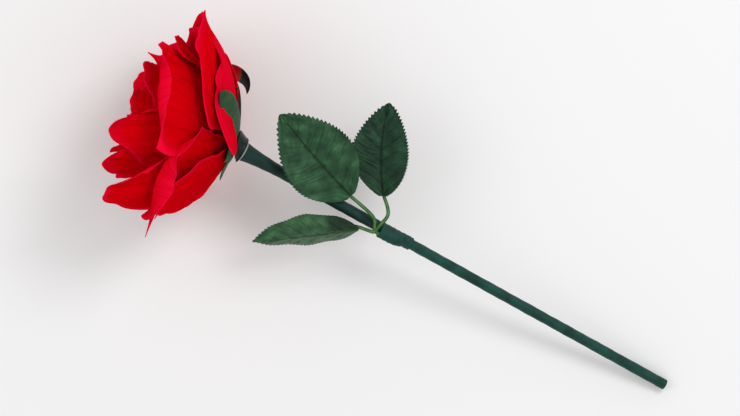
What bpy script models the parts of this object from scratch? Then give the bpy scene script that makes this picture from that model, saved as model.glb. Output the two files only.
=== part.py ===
"""An artificial rose on a long taped stem, lying on a table as it comes to rest.

The stem runs along +X from the flower down to its cut foot. The flower looks towards -X and
lies on the rims of its lowest petals. All lengths are in metres and all angles in radians,
unless a name or a comment says otherwise.
"""

import math
from collections import namedtuple

import bmesh
import bpy
import numpy as np
from mathutils import Matrix, Vector

MM = 0.001
DEGREE = math.pi / 180

# Driving sizes of the stem and of what is on it. Places along the stem are measured from the
# collar's rim, and grow towards the foot.
CLEARANCE = 0.3 * MM
ROD_RADIUS = 2.2 * MM
TAPE_WALL = 0.5 * MM
STEM_LENGTH = 283.5 * MM
ROD_END_PROUD = 0.4 * MM
ROD_START = -1.2 * MM
NECK_MOUTH_RADIUS = 5.5 * MM
NECK_END_RADIUS = 3.3 * MM
NECK_INSERT = 0.7 * MM
NECK_TAPER_LENGTH = 30.0 * MM
NECK_LENGTH = 90.0 * MM
BINDING_LENGTH = 20.0 * MM
BINDING_START = 2.0 * MM
BINDING_WALL = 0.4 * MM
COLLAR_LIP_LENGTH = 0.8 * MM
COLLAR_LIP_HEIGHT = 0.25 * MM
COLLAR_RIM_RADIUS = 6.95 * MM
COLLAR_FLOWER_RADIUS = 8.0 * MM
COLLAR_WALL = 0.6 * MM
COLLAR_TOP = -4.1 * MM

# Driving sizes of the flower. The flower's axis turns away from the stem's at the collar.
FLOWER_HEIGHT = 61.8 * MM
FLOWER_TURN = 15.5 * DEGREE
FLOWER_SETBACK = 8.3 * MM
FLOWER_SIDE_STEP = 1.2 * MM
PETAL_THICKNESS = 0.35 * MM
PETALS_IN_TURN = 72 * DEGREE
LAP_AT_BASE = 0.8 * MM
LAP_AT_RIM = 4.0 * MM
HIP_PIN_RADIUS = 0.9 * MM
HIP_PIN_END = 22.0 * MM
HIP_BACK = -5.7 * MM
HIP_FLANGE_RADIUS = 5.9 * MM
PETAL_SEAT_DEPTH = 0.9 * MM
SEPAL_THICKNESS = 0.35 * MM
SEPAL_STAND_OFF = 1.0 * MM
SEPAL_HALF_WIDTH = 6.0 * MM
SEPAL_RING = 3.0 * MM
SEPAL_HOOK_RADIUS = 2.2 * MM
SEPAL_ROWS = 10
OUTER_BELL_LENGTH = 76.0 * MM

# Driving sizes of the leaves.
LEAF_THICKNESS = 0.35 * MM
STALK_RADIUS = 1.1 * MM
STUB_RADIUS = 0.9 * MM
TEETH_PER_SIDE = 17
TOOTH_DEPTH = 0.75 * MM

TAPE_RADIUS = ROD_RADIUS + CLEARANCE + TAPE_WALL
STUB_DISTANCE = NECK_END_RADIUS + 1.5 * CLEARANCE + STALK_RADIUS
STEM_FALL = math.asin((FLOWER_HEIGHT - TAPE_RADIUS) / (STEM_LENGTH + FLOWER_SETBACK))

# Each whorl of petals lies on one bell, whose half section is a Bezier curve. Its four control
# points are (distance along the flower's axis, radius) in millimetres, from base to rim.
BELLS_MM = {
    "outer": ((-1.7, 6.8), (1.9, 27.4), (7.2, 48.0), (35.3, 68.5)),
    "fourth": ((1.7, 6.3), (5.7, 25.7), (17.1, 42.8), (42.2, 59.3)),
    "third": ((5.1, 5.4), (11.4, 22.8), (23.9, 49.0), (60.4, 53.6)),
    "second": ((8.0, 4.6), (19.4, 16.0), (34.2, 34.2), (69.5, 37.6)),
    "first": ((10.3, 3.6), (25.1, 9.1), (39.9, 21.7), (67.3, 19.4)),
}

# The petals on the upper side stand closer than their bells. Each row is an azimuth, a width round
# it and how much closer the outer and fourth whorls stand there, all in degrees.
CLOSER = ((66, 30, 12, 2), (158, 38, 11, 4))

# Azimuths are measured round the flower's axis, from +Y over the top: 90 degrees is straight up.
# spread: half the petal's width, in degrees of azimuth. reach: how far it follows its bell.
# widest: above 0 the petal is widest near its rim. skew: how far its tip leans, in degrees.
# roundness: 1 is a round outline and 0 a square one. point: how much shorter the petal is at
# its sides than at its tip. curl: how far the rim rolls back, in degrees, and curl_at where,
# from -90 (the side of lower azimuth) over 0 (tip) to 90. tail: a thin twisted point at the rim,
# as its place across, and how far it runs forwards and sideways in millimetres.
Petal = namedtuple(
    "Petal",
    "bell azimuth spread reach widest skew roundness point curl curl_at curl_width wave phase tail",
    defaults=(None,),
)

PETALS = {
    "outer_petal_1": Petal("outer", 14, 52, 1.00, -0.4, 0, 0.35, 0.05, 35, 20, 50, 1.2, 0),
    "outer_petal_2": Petal(
        "outer", 142, 34, 0.88, -0.05, 4, 0.8, 0.15, 25, -20, 60, 1.0, 40, (-0.1, 1, -18)
    ),
    "outer_petal_3": Petal("outer", 244, 44, 0.92, 0.0, 0, 0.8, 0.1, 40, 10, 60, 1.0, 80),
    "outer_petal_4": Petal("outer", 296, 44, 0.92, 0.0, 0, 0.8, 0.1, 40, 10, 60, 1.0, 120),
    "fourth_petal_1": Petal("fourth", 12, 56, 0.97, -0.15, 0, 0.5, 0.1, 30, 20, 50, 0.8, 0),
    "fourth_petal_2": Petal("fourth", 131, 48, 0.94, 0.0, 0, 0.7, 0.05, 55, -40, 50, 0.8, 40),
    "fourth_petal_3": Petal("fourth", 200, 44, 0.87, 0.0, 0, 0.8, 0.1, 40, 20, 60, 0.8, 80),
    "fourth_petal_4": Petal("fourth", 262, 44, 0.93, 0.0, 0, 0.8, 0.1, 40, 20, 60, 0.8, 120),
    "fourth_petal_5": Petal("fourth", 330, 46, 0.98, 0.0, 0, 0.4, 0.1, 40, 20, 60, 0.8, 160),
    "third_petal_1": Petal("third", 58, 51, 0.845, 0.0, 0, 0.5, 0.0, 50, 20, 45, 0.8, 0),
    "third_petal_2": Petal("third", 124, 32, 1.02, 0.0, 14, 0.8, 0.1, 45, -25, 55, 0.8, 40),
    "third_petal_3": Petal("third", 216, 46, 0.93, 0.0, 0, 0.8, 0.1, 40, 20, 60, 0.8, 80),
    "third_petal_4": Petal(
        "third", 306, 48, 0.93, 0.0, 0, 0.5, 0.1, 40, 20, 60, 0.8, 120, (0.1, 9, 3)
    ),
    "third_petal_5": Petal("third", 2, 46, 0.85, 0.0, 8, 0.5, 0.1, 30, 20, 50, 0.8, 160),
    "second_petal_1": Petal("second", 88, 42, 1.00, 0.0, 20, 0.8, 0.2, 30, 0, 60, 0.6, 0),
    "second_petal_2": Petal("second", 148, 40, 0.99, 0.0, 0, 0.8, 0.1, 30, 0, 60, 0.6, 40),
    "second_petal_3": Petal("second", 220, 44, 0.93, 0.0, 0, 0.8, 0.1, 30, 0, 60, 0.6, 80),
    "second_petal_4": Petal("second", 300, 44, 0.94, 0.0, 0, 0.8, 0.1, 30, 0, 60, 0.6, 120),
    "second_petal_5": Petal("second", 24, 46, 0.89, 0.0, 14, 0.7, 0.1, 30, 0, 60, 0.6, 160),
    "first_petal_1": Petal("first", 60, 72, 0.92, 0.0, 0, 0.8, 0.1, 20, 0, 60, 0.4, 0),
    "first_petal_2": Petal("first", 180, 72, 0.98, 0.0, 0, 0.8, 0.1, 20, 0, 60, 0.4, 40),
    "first_petal_3": Petal("first", 300, 72, 0.92, 0.0, 0, 0.8, 0.1, 20, 0, 60, 0.4, 80),
}

# Where a petal's coarse grid has its lines, closer together at the rim that curls.
ACROSS = (-1.0, -0.88, -0.6, -0.2, 0.2, 0.6, 0.88, 1.0)
TAIL_HALF_WIDTH = 0.11
ALONG = (-1.0, -0.55, -0.1, 0.3, 0.6, 0.82, 0.92, 1.0)
CURL_START = 0.8

# The rolled strip at the flower's heart.
BUD_TURNS = 2.2
BUD_FIRST_RADIUS = 1.5 * MM
BUD_TURN_PITCH = 1.1 * MM
BUD_BASE = 13.6 * MM
BUD_TIP = 60.0 * MM
BUD_BELLY = 2.0

# Azimuth and length of each sepal, how far its tip hooks back, in degrees, and how long the
# straight end past the hook is.
Sepal = namedtuple("Sepal", "azimuth length hook end")
SEPALS = (
    Sepal(54, 40 * MM, 20, 0),
    Sepal(118, 18 * MM, 5, 0),
    Sepal(186, 27 * MM, 20, 0),
    Sepal(268, 26 * MM, 20, 0),
    Sepal(344, 64 * MM, 178, 14 * MM),
)

# A leaf runs from base to tip. Both are (x, y, height above the stem's axis there) in
# millimetres, with x from the end of the neck sleeve, where the stalks enter. face points out of
# its upper side. bow is how far its midrib bends sideways.
Leaf = namedtuple("Leaf", "base tip face half_width fold droop bow stalk")
LEAVES = {
    "leaf_1": Leaf(
        (-22.6, 7.1, 7.5), (-80.8, 28.4, 12.0), (0.1, 0.1, 1.0), 20.6 * MM, 14 * DEGREE, 3.0 * MM,
        -1.0 * MM, ((-7.0, 3.3, 6.6),),
    ),
    "leaf_2": Leaf(
        (-6.8, 15.7, 5.0), (-30.2, 64.7, -3.0), (-0.15, 0.1, 1.0), 15.6 * MM, 12 * DEGREE, 3.0 * MM,
        -3.2 * MM, ((0.2, 8.5, 6.5),),
    ),
    "leaf_3": Leaf(
        (-9.6, -6.8, 3.0), (-59.6, -43.5, -14.0), (0.0, -0.94, 0.36), 17.0 * MM, -14 * DEGREE,
        3.0 * MM, 0.0, ((-3.0, -4.5, 4.4),),
    ),
}

UP = Vector((0, 0, 1))
stem_way = Vector((math.cos(STEM_FALL), 0, -math.sin(STEM_FALL)))
flower_axis = Vector((-math.cos(FLOWER_TURN), -math.sin(FLOWER_TURN), 0))
flower_side = Vector((-math.sin(FLOWER_TURN), math.cos(FLOWER_TURN), 0))
flower_base = Vector(
    (-FLOWER_SETBACK * math.cos(STEM_FALL), FLOWER_SIDE_STEP, FLOWER_HEIGHT)
)
collar_rim = Vector((0, 0, FLOWER_HEIGHT - FLOWER_SETBACK * math.sin(STEM_FALL)))


def along_stem(distance):
    """The point on the stem's axis at that distance from the collar's rim."""
    return collar_rim + stem_way * distance


def above_stem(x, y, height):
    """A point in millimetres from the sleeve's end, with its height above the axis there."""
    past_rim = NECK_LENGTH + x * MM
    axis_height = collar_rim.z - past_rim * math.tan(STEM_FALL)
    return Vector((past_rim, y * MM, axis_height + height * MM))


def clear_scene():
    for item in list(bpy.data.objects):
        bpy.data.objects.remove(item, do_unlink=True)


def finish(name, colour, roughness):
    """A material with one colour, given as linear red, green and blue."""
    material = bpy.data.materials.new(name)
    material.use_nodes = True
    shader = material.node_tree.nodes["Principled BSDF"]
    shader.inputs["Base Color"].default_value = (*colour, 1)
    shader.inputs["Roughness"].default_value = roughness
    shader.inputs["Metallic"].default_value = 0.0
    return material


def add_object(name, mesh, material):
    mesh.materials.append(material)
    item = bpy.data.objects.new(name, mesh)
    rose.objects.link(item)
    return item


def mesh_from(name, shape):
    mesh = bpy.data.meshes.new(name)
    shape.to_mesh(mesh)
    shape.free()
    mesh.shade_smooth()
    return mesh


def turned(name, profile, place, material, steps=16, closed=False):
    """A body of revolution about its local Z axis, from (radius, height) points."""
    shape = bmesh.new()
    points = [shape.verts.new((radius, 0, height)) for radius, height in profile]
    for start, end in zip(points, points[1:]):
        shape.edges.new((start, end))
    if closed:
        shape.edges.new((points[-1], points[0]))
    item = add_object(name, mesh_from(name, shape), material)
    item.matrix_world = place
    screw = item.modifiers.new("turn", "SCREW")
    screw.axis = "Z"
    screw.steps = screw.render_steps = steps
    screw.use_merge_vertices = True
    screw.merge_threshold = 0.01 * MM
    return item


def pointing(direction, origin):
    """The placement whose local Z axis points along direction."""
    return Matrix.Translation(origin) @ direction.to_track_quat("Z", "Y").to_matrix().to_4x4()


def solidify(item, thickness, offset=0.0):
    wall = item.modifiers.new("wall", "SOLIDIFY")
    wall.thickness = thickness
    wall.offset = offset
    wall.use_even_offset = True
    return wall


def grid(name, columns, rows):
    """A flat grid of columns by rows cells, with its corners at -1 and 1."""
    shape = bmesh.new()
    bmesh.ops.create_grid(shape, x_segments=columns, y_segments=rows, size=1)
    return shape


def bell_section(bell, reach):
    """Points of a bell's half section and its outward normals, at shares of its length."""
    controls = np.array(BELLS_MM[bell]) * MM
    share = np.asarray(reach)[..., None]
    left = 1 - share
    point = (
        left**3 * controls[0]
        + 3 * left**2 * share * controls[1]
        + 3 * left * share**2 * controls[2]
        + share**3 * controls[3]
    )
    slope = (
        3 * left**2 * (controls[1] - controls[0])
        + 6 * left * share * (controls[2] - controls[1])
        + 3 * share**2 * (controls[3] - controls[2])
    )
    slope /= np.linalg.norm(slope, axis=-1, keepdims=True)
    normal = np.stack((-slope[..., 1], slope[..., 0]), axis=-1)
    return point, normal


def closer_section(bell, reach, azimuth):
    """A bell's section where its petals stand closer, turned about the bell's base."""
    point, normal = bell_section(bell, reach)
    turn = 0.0
    for middle, width, outer, fourth in CLOSER:
        away = (np.asarray(azimuth) / DEGREE - middle + 180) % 360 - 180
        most = {"outer": outer, "fourth": fourth}.get(bell, 0) * DEGREE
        turn = turn + most * np.exp(-((away / width) ** 2))
    cos, sin = np.cos(turn), np.sin(turn)
    base = np.array(BELLS_MM[bell][0]) * MM
    moved = []
    for pair in (point - base, normal):
        forward = pair[..., 0] * cos + pair[..., 1] * sin
        outward = pair[..., 1] * cos - pair[..., 0] * sin
        moved.append(np.stack((forward, outward), axis=-1))
    return moved[0] + base, moved[1]


def in_flower(forward, radius, azimuth):
    """Points from their distance along the flower's axis, their radius and azimuth."""
    axis, side, up = (np.array(v) for v in (flower_axis, flower_side, UP))
    radius = np.asarray(radius)[..., None]
    azimuth = np.asarray(azimuth)[..., None]
    forward = np.asarray(forward)[..., None]
    return (
        np.array(flower_base)
        + forward * axis
        + radius * (np.cos(azimuth) * side + np.sin(azimuth) * up)
    )


def on_petal(petal, across, along, lift=0.0):
    """Points of a petal before its rim curls, from grid places between -1 and 1."""
    upper = np.maximum(along, 0)
    round_off = petal.roundness / 2
    x = across * np.sqrt(1 - round_off * upper**2)
    y = along * np.sqrt(1 - round_off * across**2 * (along > 0))
    y = y - petal.point * np.abs(across) ** 1.5 * upper**2
    reach = (y + 1) / 2 * petal.reach
    centre = petal.azimuth * DEGREE
    lean = petal.skew * DEGREE * ((along + 1) / 2) ** 2
    azimuth = centre + lean + petal.spread * DEGREE * (1 + petal.widest * y) * x
    lap = (LAP_AT_BASE + (LAP_AT_RIM - LAP_AT_BASE) * reach) * (azimuth - centre) / PETALS_IN_TURN
    ripple = petal.wave * MM * reach**3 * np.sin(4 * across + petal.phase * DEGREE)
    point, normal = closer_section(petal.bell, reach, azimuth)
    point = point + normal * (lap + ripple + lift)[..., None]
    return in_flower(point[..., 0], point[..., 1], azimuth)


def petal_points(petal, across, along):
    """Points of a petal whose rim rolls back with an even bend."""
    outer = np.maximum(along, 0)
    to_rim = np.sqrt(1 - (1 - across**2) * (1 - outer**2))
    inside = np.minimum(1, CURL_START / np.maximum(to_rim, 1e-6))
    start = on_petal(petal, across * inside, along * inside)
    flat = on_petal(petal, across, along)
    ahead = on_petal(petal, across * inside * 1.01, along * inside * 1.01) - start
    ahead /= np.linalg.norm(ahead, axis=-1, keepdims=True) + 1e-12
    out = on_petal(petal, across * inside, along * inside, lift=MM) - start
    out -= (out * ahead).sum(-1, keepdims=True) * ahead
    out /= np.linalg.norm(out, axis=-1, keepdims=True)
    length = np.linalg.norm(flat - start, axis=-1)
    place = np.degrees(np.arctan2(across, along))
    weight = np.exp(-(((place - petal.curl_at) / petal.curl_width) ** 2))
    depth = np.clip((to_rim - CURL_START) / (1 - CURL_START), 0, 1)
    bend = np.maximum(petal.curl * DEGREE * weight * depth, 1e-4)
    rolled = (
        start
        + ahead * (length * np.sin(bend) / bend)[..., None]
        + out * (length * (1 - np.cos(bend)) / bend)[..., None]
    )
    keep = np.clip(weight * 4, 0, 1)[..., None]
    mixed = flat * (1 - keep) + rolled * keep
    points = np.where((to_rim > CURL_START)[..., None], mixed, flat)
    if petal.tail:
        place, forward, sideways = petal.tail
        near = np.clip(1 - np.abs(across - place) / TAIL_HALF_WIDTH, 0, 1)
        share = near * np.clip((along - 0.8) / 0.2, 0, 1) ** 2
        way = np.array(flower_axis) * forward * MM + np.array(flower_side) * sideways * MM
        points = points + share[..., None] * way
    return points


def between_lines(places, lines):
    """Grid places moved from even spacing to the given lines."""
    even = np.linspace(-1, 1, len(lines))
    return np.interp(places, even, lines)


def make_petal(name, petal, material):
    shape = grid(name, len(ACROSS) - 1, len(ALONG) - 1)
    flat = np.array([vertex.co[:2] for vertex in shape.verts])
    lines = ACROSS
    if petal.tail:
        tail_lines = [petal.tail[0] + step * TAIL_HALF_WIDTH for step in (-1, 0, 1)]
        lines = (-1, -0.85, *tail_lines, 0.6, 0.85, 1)
    across = between_lines(flat[:, 0], lines)
    along = between_lines(flat[:, 1], ALONG)
    for vertex, point in zip(shape.verts, petal_points(petal, across, along)):
        vertex.co = point
    item = add_object(name, mesh_from(name, shape), material)
    solidify(item, PETAL_THICKNESS)
    return item


def make_bud(material):
    """One strip rolled up into the flower's heart, fuller at half height than at its ends."""
    shape = grid("bud_roll", 32, 4)
    for vertex in shape.verts:
        turn = (vertex.co.x + 1) / 2
        height = (vertex.co.y + 1) / 2
        swell = 1 + (BUD_BELLY - 1) * math.sin(math.pi * height) ** 2
        radius = (BUD_FIRST_RADIUS + BUD_TURN_PITCH * BUD_TURNS * turn) * swell
        tip = BUD_TIP - 5 * MM * turn + 1.5 * MM * math.sin(3 * math.tau * turn)
        forward = BUD_BASE + (tip - BUD_BASE) * height
        azimuth = -math.tau * BUD_TURNS * turn
        vertex.co = in_flower(forward, radius, azimuth)
    item = add_object("bud_roll", mesh_from("bud_roll", shape), material)
    solidify(item, PETAL_THICKNESS)
    return item


def make_hip(material):
    """The cone that the petals are glued to, with a pin in front and a flange in the collar."""
    seats = [
        (radius * MM - PETAL_SEAT_DEPTH, forward * MM)
        for (forward, radius), *_ in reversed(list(BELLS_MM.values()))
    ]
    waist = seats[-1][0]
    profile = (
        (0, HIP_PIN_END),
        (HIP_PIN_RADIUS, HIP_PIN_END),
        (HIP_PIN_RADIUS, BUD_BASE - 2 * CLEARANCE),
        (seats[0][0] - 0.9 * MM, BUD_BASE - 2 * CLEARANCE),
        *seats,
        (waist, COLLAR_TOP),
        (HIP_FLANGE_RADIUS, COLLAR_TOP - 0.5 * MM),
        (HIP_FLANGE_RADIUS, COLLAR_TOP - 1.2 * MM),
        (ROD_RADIUS, HIP_BACK),
        (0, HIP_BACK),
    )
    return turned("hip", profile, pointing(flower_axis, flower_base), material)


def make_stem(rod_material, tape_material):
    shape = bmesh.new()
    start = ROD_START
    length = STEM_LENGTH + ROD_END_PROUD - start
    bmesh.ops.create_cone(
        shape, cap_ends=True, segments=16, radius1=ROD_RADIUS, radius2=ROD_RADIUS, depth=length
    )
    rod = add_object("stem_rod", mesh_from("stem_rod", shape), rod_material)
    rod.matrix_world = pointing(stem_way, along_stem(start + length / 2))
    rod.data.set_sharp_from_angle(angle=40 * DEGREE)
    inner = ROD_RADIUS + CLEARANCE
    tape_start = NECK_LENGTH + CLEARANCE
    tape = turned(
        "stem_tape",
        (
            (TAPE_RADIUS, STEM_LENGTH),
            (TAPE_RADIUS, tape_start),
            (inner, tape_start),
            (inner, STEM_LENGTH),
        ),
        pointing(stem_way, along_stem(0)),
        tape_material,
        steps=18,
        closed=True,
    )
    return rod, tape


def make_neck(material):
    """The tapered sleeve below the collar: wide in its mouth, and thin along the stem."""
    bore = ROD_RADIUS + CLEARANCE
    steps = 7
    outer = [(NECK_MOUTH_RADIUS, -NECK_INSERT), (NECK_MOUTH_RADIUS, 1.0 * MM)]
    for step in range(1, steps + 1):
        share = step / steps
        radius = NECK_END_RADIUS + (NECK_MOUTH_RADIUS - NECK_END_RADIUS) * (1 - share) ** 2
        outer.append((radius, 1.0 * MM + (NECK_TAPER_LENGTH - 1.0 * MM) * share))
    outer.append((NECK_END_RADIUS, NECK_LENGTH))
    profile = [*reversed(outer), (bore, -NECK_INSERT), (bore, NECK_LENGTH)]
    return turned("neck_sleeve", profile, pointing(stem_way, along_stem(0)), material, closed=True)


def ring_of(shape, centre, direction, radius, segments, stretch=1.0, towards=None):
    """A ring of vertices round a point, and stretched towards one side where asked."""
    made = bmesh.ops.create_circle(shape, cap_ends=False, segments=segments, radius=radius)
    place = pointing(direction, centre)
    for vertex in made["verts"]:
        vertex.co = place @ vertex.co
        if towards is not None:
            reach = (vertex.co - centre).dot(towards)
            vertex.co += towards * reach * (stretch - 1)
    return made["verts"]


def edges_of(vertices):
    chosen = set(vertices)
    return [e for e in {e for v in vertices for e in v.link_edges} if set(e.verts) <= chosen]


def tube_through(name, rings, material):
    """An open tube that bridges each ring to the next."""
    shape = bmesh.new()
    loops = [edges_of(ring_of(shape, **ring)) for ring in rings]
    for near, far in zip(loops, loops[1:]):
        bmesh.ops.bridge_loops(shape, edges=near + far)
    bmesh.ops.recalc_face_normals(shape, faces=shape.faces)
    return add_object(name, mesh_from(name, shape), material)


def make_collar(material):
    """A cup that turns from the stem's direction to the flower's, with a raised rim."""
    flower_end = flower_base + flower_axis * COLLAR_TOP
    length = (flower_end - along_stem(0)).length
    lip = COLLAR_LIP_LENGTH / length
    rings = []
    stations = (
        (0.0, COLLAR_RIM_RADIUS + COLLAR_LIP_HEIGHT),
        (lip, COLLAR_RIM_RADIUS + COLLAR_LIP_HEIGHT),
        (1.6 * lip, COLLAR_RIM_RADIUS),
        (0.6, (COLLAR_RIM_RADIUS + COLLAR_FLOWER_RADIUS) / 2),
        (1.0, COLLAR_FLOWER_RADIUS),
    )
    for share, radius in stations:
        centre = along_stem(0).lerp(flower_end, share)
        direction = (-stem_way).lerp(flower_axis, share).normalized()
        rings.append(dict(centre=centre, direction=direction, radius=radius, segments=24))
    item = tube_through("collar_cup", rings, material)
    solidify(item, COLLAR_WALL, offset=-1)
    return item


def stub_way():
    """Where the leaf spray's stub lies round the stem, as a unit vector across it."""
    sideways = Vector((0, -1, 0))
    upwards = stem_way.cross(sideways).normalized()
    if upwards.z < 0:
        upwards.negate()
    return (sideways + upwards).normalized()


def make_binding(material):
    """Tape wound over the stem and the leaf spray's stub, which makes the bulge there."""
    towards = stub_way()
    stub_reach = STUB_DISTANCE + STUB_RADIUS + 2 * CLEARANCE
    inner = TAPE_RADIUS + CLEARANCE
    start = NECK_LENGTH + BINDING_START
    rings = []
    for share, bulge in ((0.0, 1.0), (0.35, 1.0), (0.6, 0.75), (0.75, 0.25), (0.8, 0.05), (1.0, 0.0)):
        reach = inner + (stub_reach - inner) * bulge
        shift = (reach - inner) / 2
        radius = inner + 0.12 * MM + BINDING_WALL
        stretch = ((reach + inner) / 2 + BINDING_WALL) / (inner + BINDING_WALL)
        rings.append(
            dict(
                centre=along_stem(start + BINDING_LENGTH * share) + towards * shift,
                direction=stem_way,
                radius=radius,
                segments=14,
                stretch=stretch,
                towards=towards,
            )
        )
    item = tube_through("stem_binding", rings, material)
    solidify(item, BINDING_WALL, offset=-1)
    return item


def leaf_frame(leaf):
    base, tip = above_stem(*leaf.base), above_stem(*leaf.tip)
    ahead = (tip - base).normalized()
    side = ahead.cross(Vector(leaf.face)).normalized()
    return base, ahead, side, side.cross(ahead), (tip - base).length


def on_leaf(leaf, share, across):
    """A point of a leaf's blade: share runs from base to tip, across from -1 to 1."""
    base, ahead, side, face, length = leaf_frame(leaf)
    outline = math.sin(math.pi * min(max(share, 0.0), 1.0) ** 0.85) ** 0.8 if 0 < share < 1 else 0
    half = leaf.half_width * outline
    sag = leaf.droop * (share - 0.35) ** 2
    rise = abs(across) * half * math.tan(leaf.fold)
    return (
        base
        + ahead * length * share
        + side * (across * half + leaf.bow * math.sin(math.pi * share))
        + face * (rise - sag)
    )


def make_leaf(name, leaf, material):
    rows = 2 * TEETH_PER_SIDE
    shape = grid(name, 4, rows)
    _, ahead, side, _, _ = leaf_frame(leaf)
    for vertex in shape.verts:
        across = vertex.co.x
        share = 0.015 + 0.975 * (vertex.co.y + 1) / 2
        row = round((vertex.co.y + 1) / 2 * rows)
        vertex.co = on_leaf(leaf, share, across)
        if abs(across) > 0.99 and row % 2 == 1:
            outwards = side * math.copysign(1, across)
            vertex.co += outwards * TOOTH_DEPTH + ahead * TOOTH_DEPTH * 0.6
    item = add_object(name, mesh_from(name, shape), material)
    solidify(item, LEAF_THICKNESS)
    return item


def tube_along(name, points, radius, sides=8):
    """A closed tube along a smooth line, as a mesh."""
    curve = bpy.data.curves.new(name, "CURVE")
    curve.dimensions = "3D"
    curve.bevel_depth = radius
    curve.bevel_resolution = sides // 4
    curve.use_fill_caps = True
    line = curve.splines.new("POLY")
    line.points.add(len(points) - 1)
    for place, point in zip(line.points, points):
        place.co = (*point, 1)
    guide = bpy.data.objects.new(name + "_line", curve)
    rose.objects.link(guide)
    bpy.context.view_layer.update()
    seen = guide.evaluated_get(bpy.context.evaluated_depsgraph_get())
    mesh = bpy.data.meshes.new_from_object(seen)
    bpy.data.objects.remove(guide)
    bpy.data.curves.remove(curve)
    shape = bmesh.new()
    shape.from_mesh(mesh)
    bmesh.ops.remove_doubles(shape, verts=shape.verts, dist=0.005 * MM)
    bmesh.ops.recalc_face_normals(shape, faces=shape.faces)
    bpy.data.meshes.remove(mesh)
    return shape


def smooth_line(points, steps):
    """Points on a Catmull-Rom curve through the given ones."""
    padded = [points[0] * 2 - points[1], *points, points[-1] * 2 - points[-2]]
    line = []
    for a, b, c, d in zip(padded, padded[1:], padded[2:], padded[3:]):
        for step in range(steps):
            t = step / steps
            line.append(
                0.5
                * (
                    2 * b
                    + (c - a) * t
                    + (2 * a - 5 * b + 4 * c - d) * t**2
                    + (3 * b - a - 3 * c + d) * t**3
                )
            )
    line.append(points[-1].copy())
    return line


def stub_point(distance):
    return along_stem(distance) + stub_way() * STUB_DISTANCE


def make_spray(material):
    """The moulded stalks: one stub under the tape that forks to the three leaves."""
    fork = stub_point(NECK_LENGTH + 0.2 * MM)
    clear = STALK_RADIUS + 3 * CLEARANCE + LEAF_THICKNESS / 2
    shape = tube_along("stub", [stub_point(NECK_LENGTH + 12 * MM), fork], STUB_RADIUS)
    spray = add_object("leaf_spray", mesh_from("leaf_spray", shape), material)
    for name, leaf in LEAVES.items():
        _, ahead, _, face, _ = leaf_frame(leaf)
        under = [on_leaf(leaf, share, 0) - face * clear for share in (0.04, 0.12, 0.2)]
        points = [fork - stem_way * 0.001 * MM, *(above_stem(*p) for p in leaf.stalk), *under]
        shape = tube_along(name, smooth_line(points, 3), STALK_RADIUS)
        arm = bpy.data.objects.new("arm_of_" + name, mesh_from("arm_of_" + name, shape))
        cutters.objects.link(arm)
        arm.hide_render = True
        arm.display_type = "WIRE"
        join = spray.modifiers.new("join_" + name, "BOOLEAN")
        join.operation = "UNION"
        join.solver = "EXACT"
        join.object = arm
    return spray


def outer_lift(low, high, reach):
    """How far outside its bell the outer whorl stands between two azimuths, in degrees."""
    lap = LAP_AT_BASE + (LAP_AT_RIM - LAP_AT_BASE) * reach
    lifts = [0.0]
    for petal in PETALS.values():
        for turn in (-360, 0, 360):
            past = high + turn - petal.azimuth
            if petal.bell == "outer" and low + turn - petal.azimuth < petal.spread and past > 0:
                lifts.append(min(past, petal.spread) * DEGREE / PETALS_IN_TURN)
    return lap * max(lifts) + PETAL_THICKNESS / 2 + SEPAL_STAND_OFF


def sepal_points(sepal, seat, across, run):
    """A point of a sepal, whose base is the fifth of a ring round the seat's azimuth."""
    free = max(0.0, run - SEPAL_RING) / (sepal.length - SEPAL_RING)
    hook = sepal.hook * DEGREE
    hook_start = sepal.length - SEPAL_HOOK_RADIUS * hook - sepal.end
    flat_run = min(run, hook_start)
    reach = flat_run / OUTER_BELL_LENGTH
    middle = seat + (sepal.azimuth - seat) * min(1, free * 3)
    half = math.pi / 5
    if free > 0:
        radius = bell_section("outer", np.array(reach))[0][1]
        half = min(half, SEPAL_HALF_WIDTH / (radius + MM) * (1 - free**2.4) + 0.015)
    azimuth = middle * DEGREE + half * across
    point, normal = closer_section("outer", np.array(reach), azimuth)
    blend = min(1, free * 4)
    everywhere = outer_lift(0, 360, reach)
    nearby = outer_lift(sepal.azimuth - 10, sepal.azimuth + 10, reach)
    lift = everywhere + (nearby - everywhere) * blend
    bend = min((run - flat_run) / SEPAL_HOOK_RADIUS, hook)
    past_hook = run - flat_run - bend * SEPAL_HOOK_RADIUS
    ahead = np.array((normal[1], -normal[0]))
    out = SEPAL_HOOK_RADIUS * (1 - math.cos(bend)) + past_hook * math.sin(bend)
    point = point + normal * (lift + out)
    point = point + ahead * (SEPAL_HOOK_RADIUS * math.sin(bend) + past_hook * math.cos(bend))
    return in_flower(point[0], point[1], azimuth)


def make_calyx(material):
    """Five sepals cut in one star. Each starts as a fifth of a ring and then narrows."""
    star = bmesh.new()
    for index, sepal in enumerate(SEPALS):
        part = grid("sepal", 4, SEPAL_ROWS)
        seat = SEPALS[0].azimuth + 72 * index
        for vertex in part.verts:
            row = round((vertex.co.y + 1) / 2 * SEPAL_ROWS)
            blade = (sepal.length - SEPAL_RING) * (row - 1) / (SEPAL_ROWS - 1)
            run = SEPAL_RING + blade if row else 0.0
            vertex.co = sepal_points(sepal, seat, vertex.co.x, run)
        mesh = mesh_from("sepal", part)
        star.from_mesh(mesh)
        bpy.data.meshes.remove(mesh)
    bmesh.ops.remove_doubles(star, verts=star.verts, dist=0.05 * MM)
    bmesh.ops.recalc_face_normals(star, faces=star.faces)
    item = add_object("calyx", mesh_from("calyx", star), material)
    solidify(item, SEPAL_THICKNESS)
    return item


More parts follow.
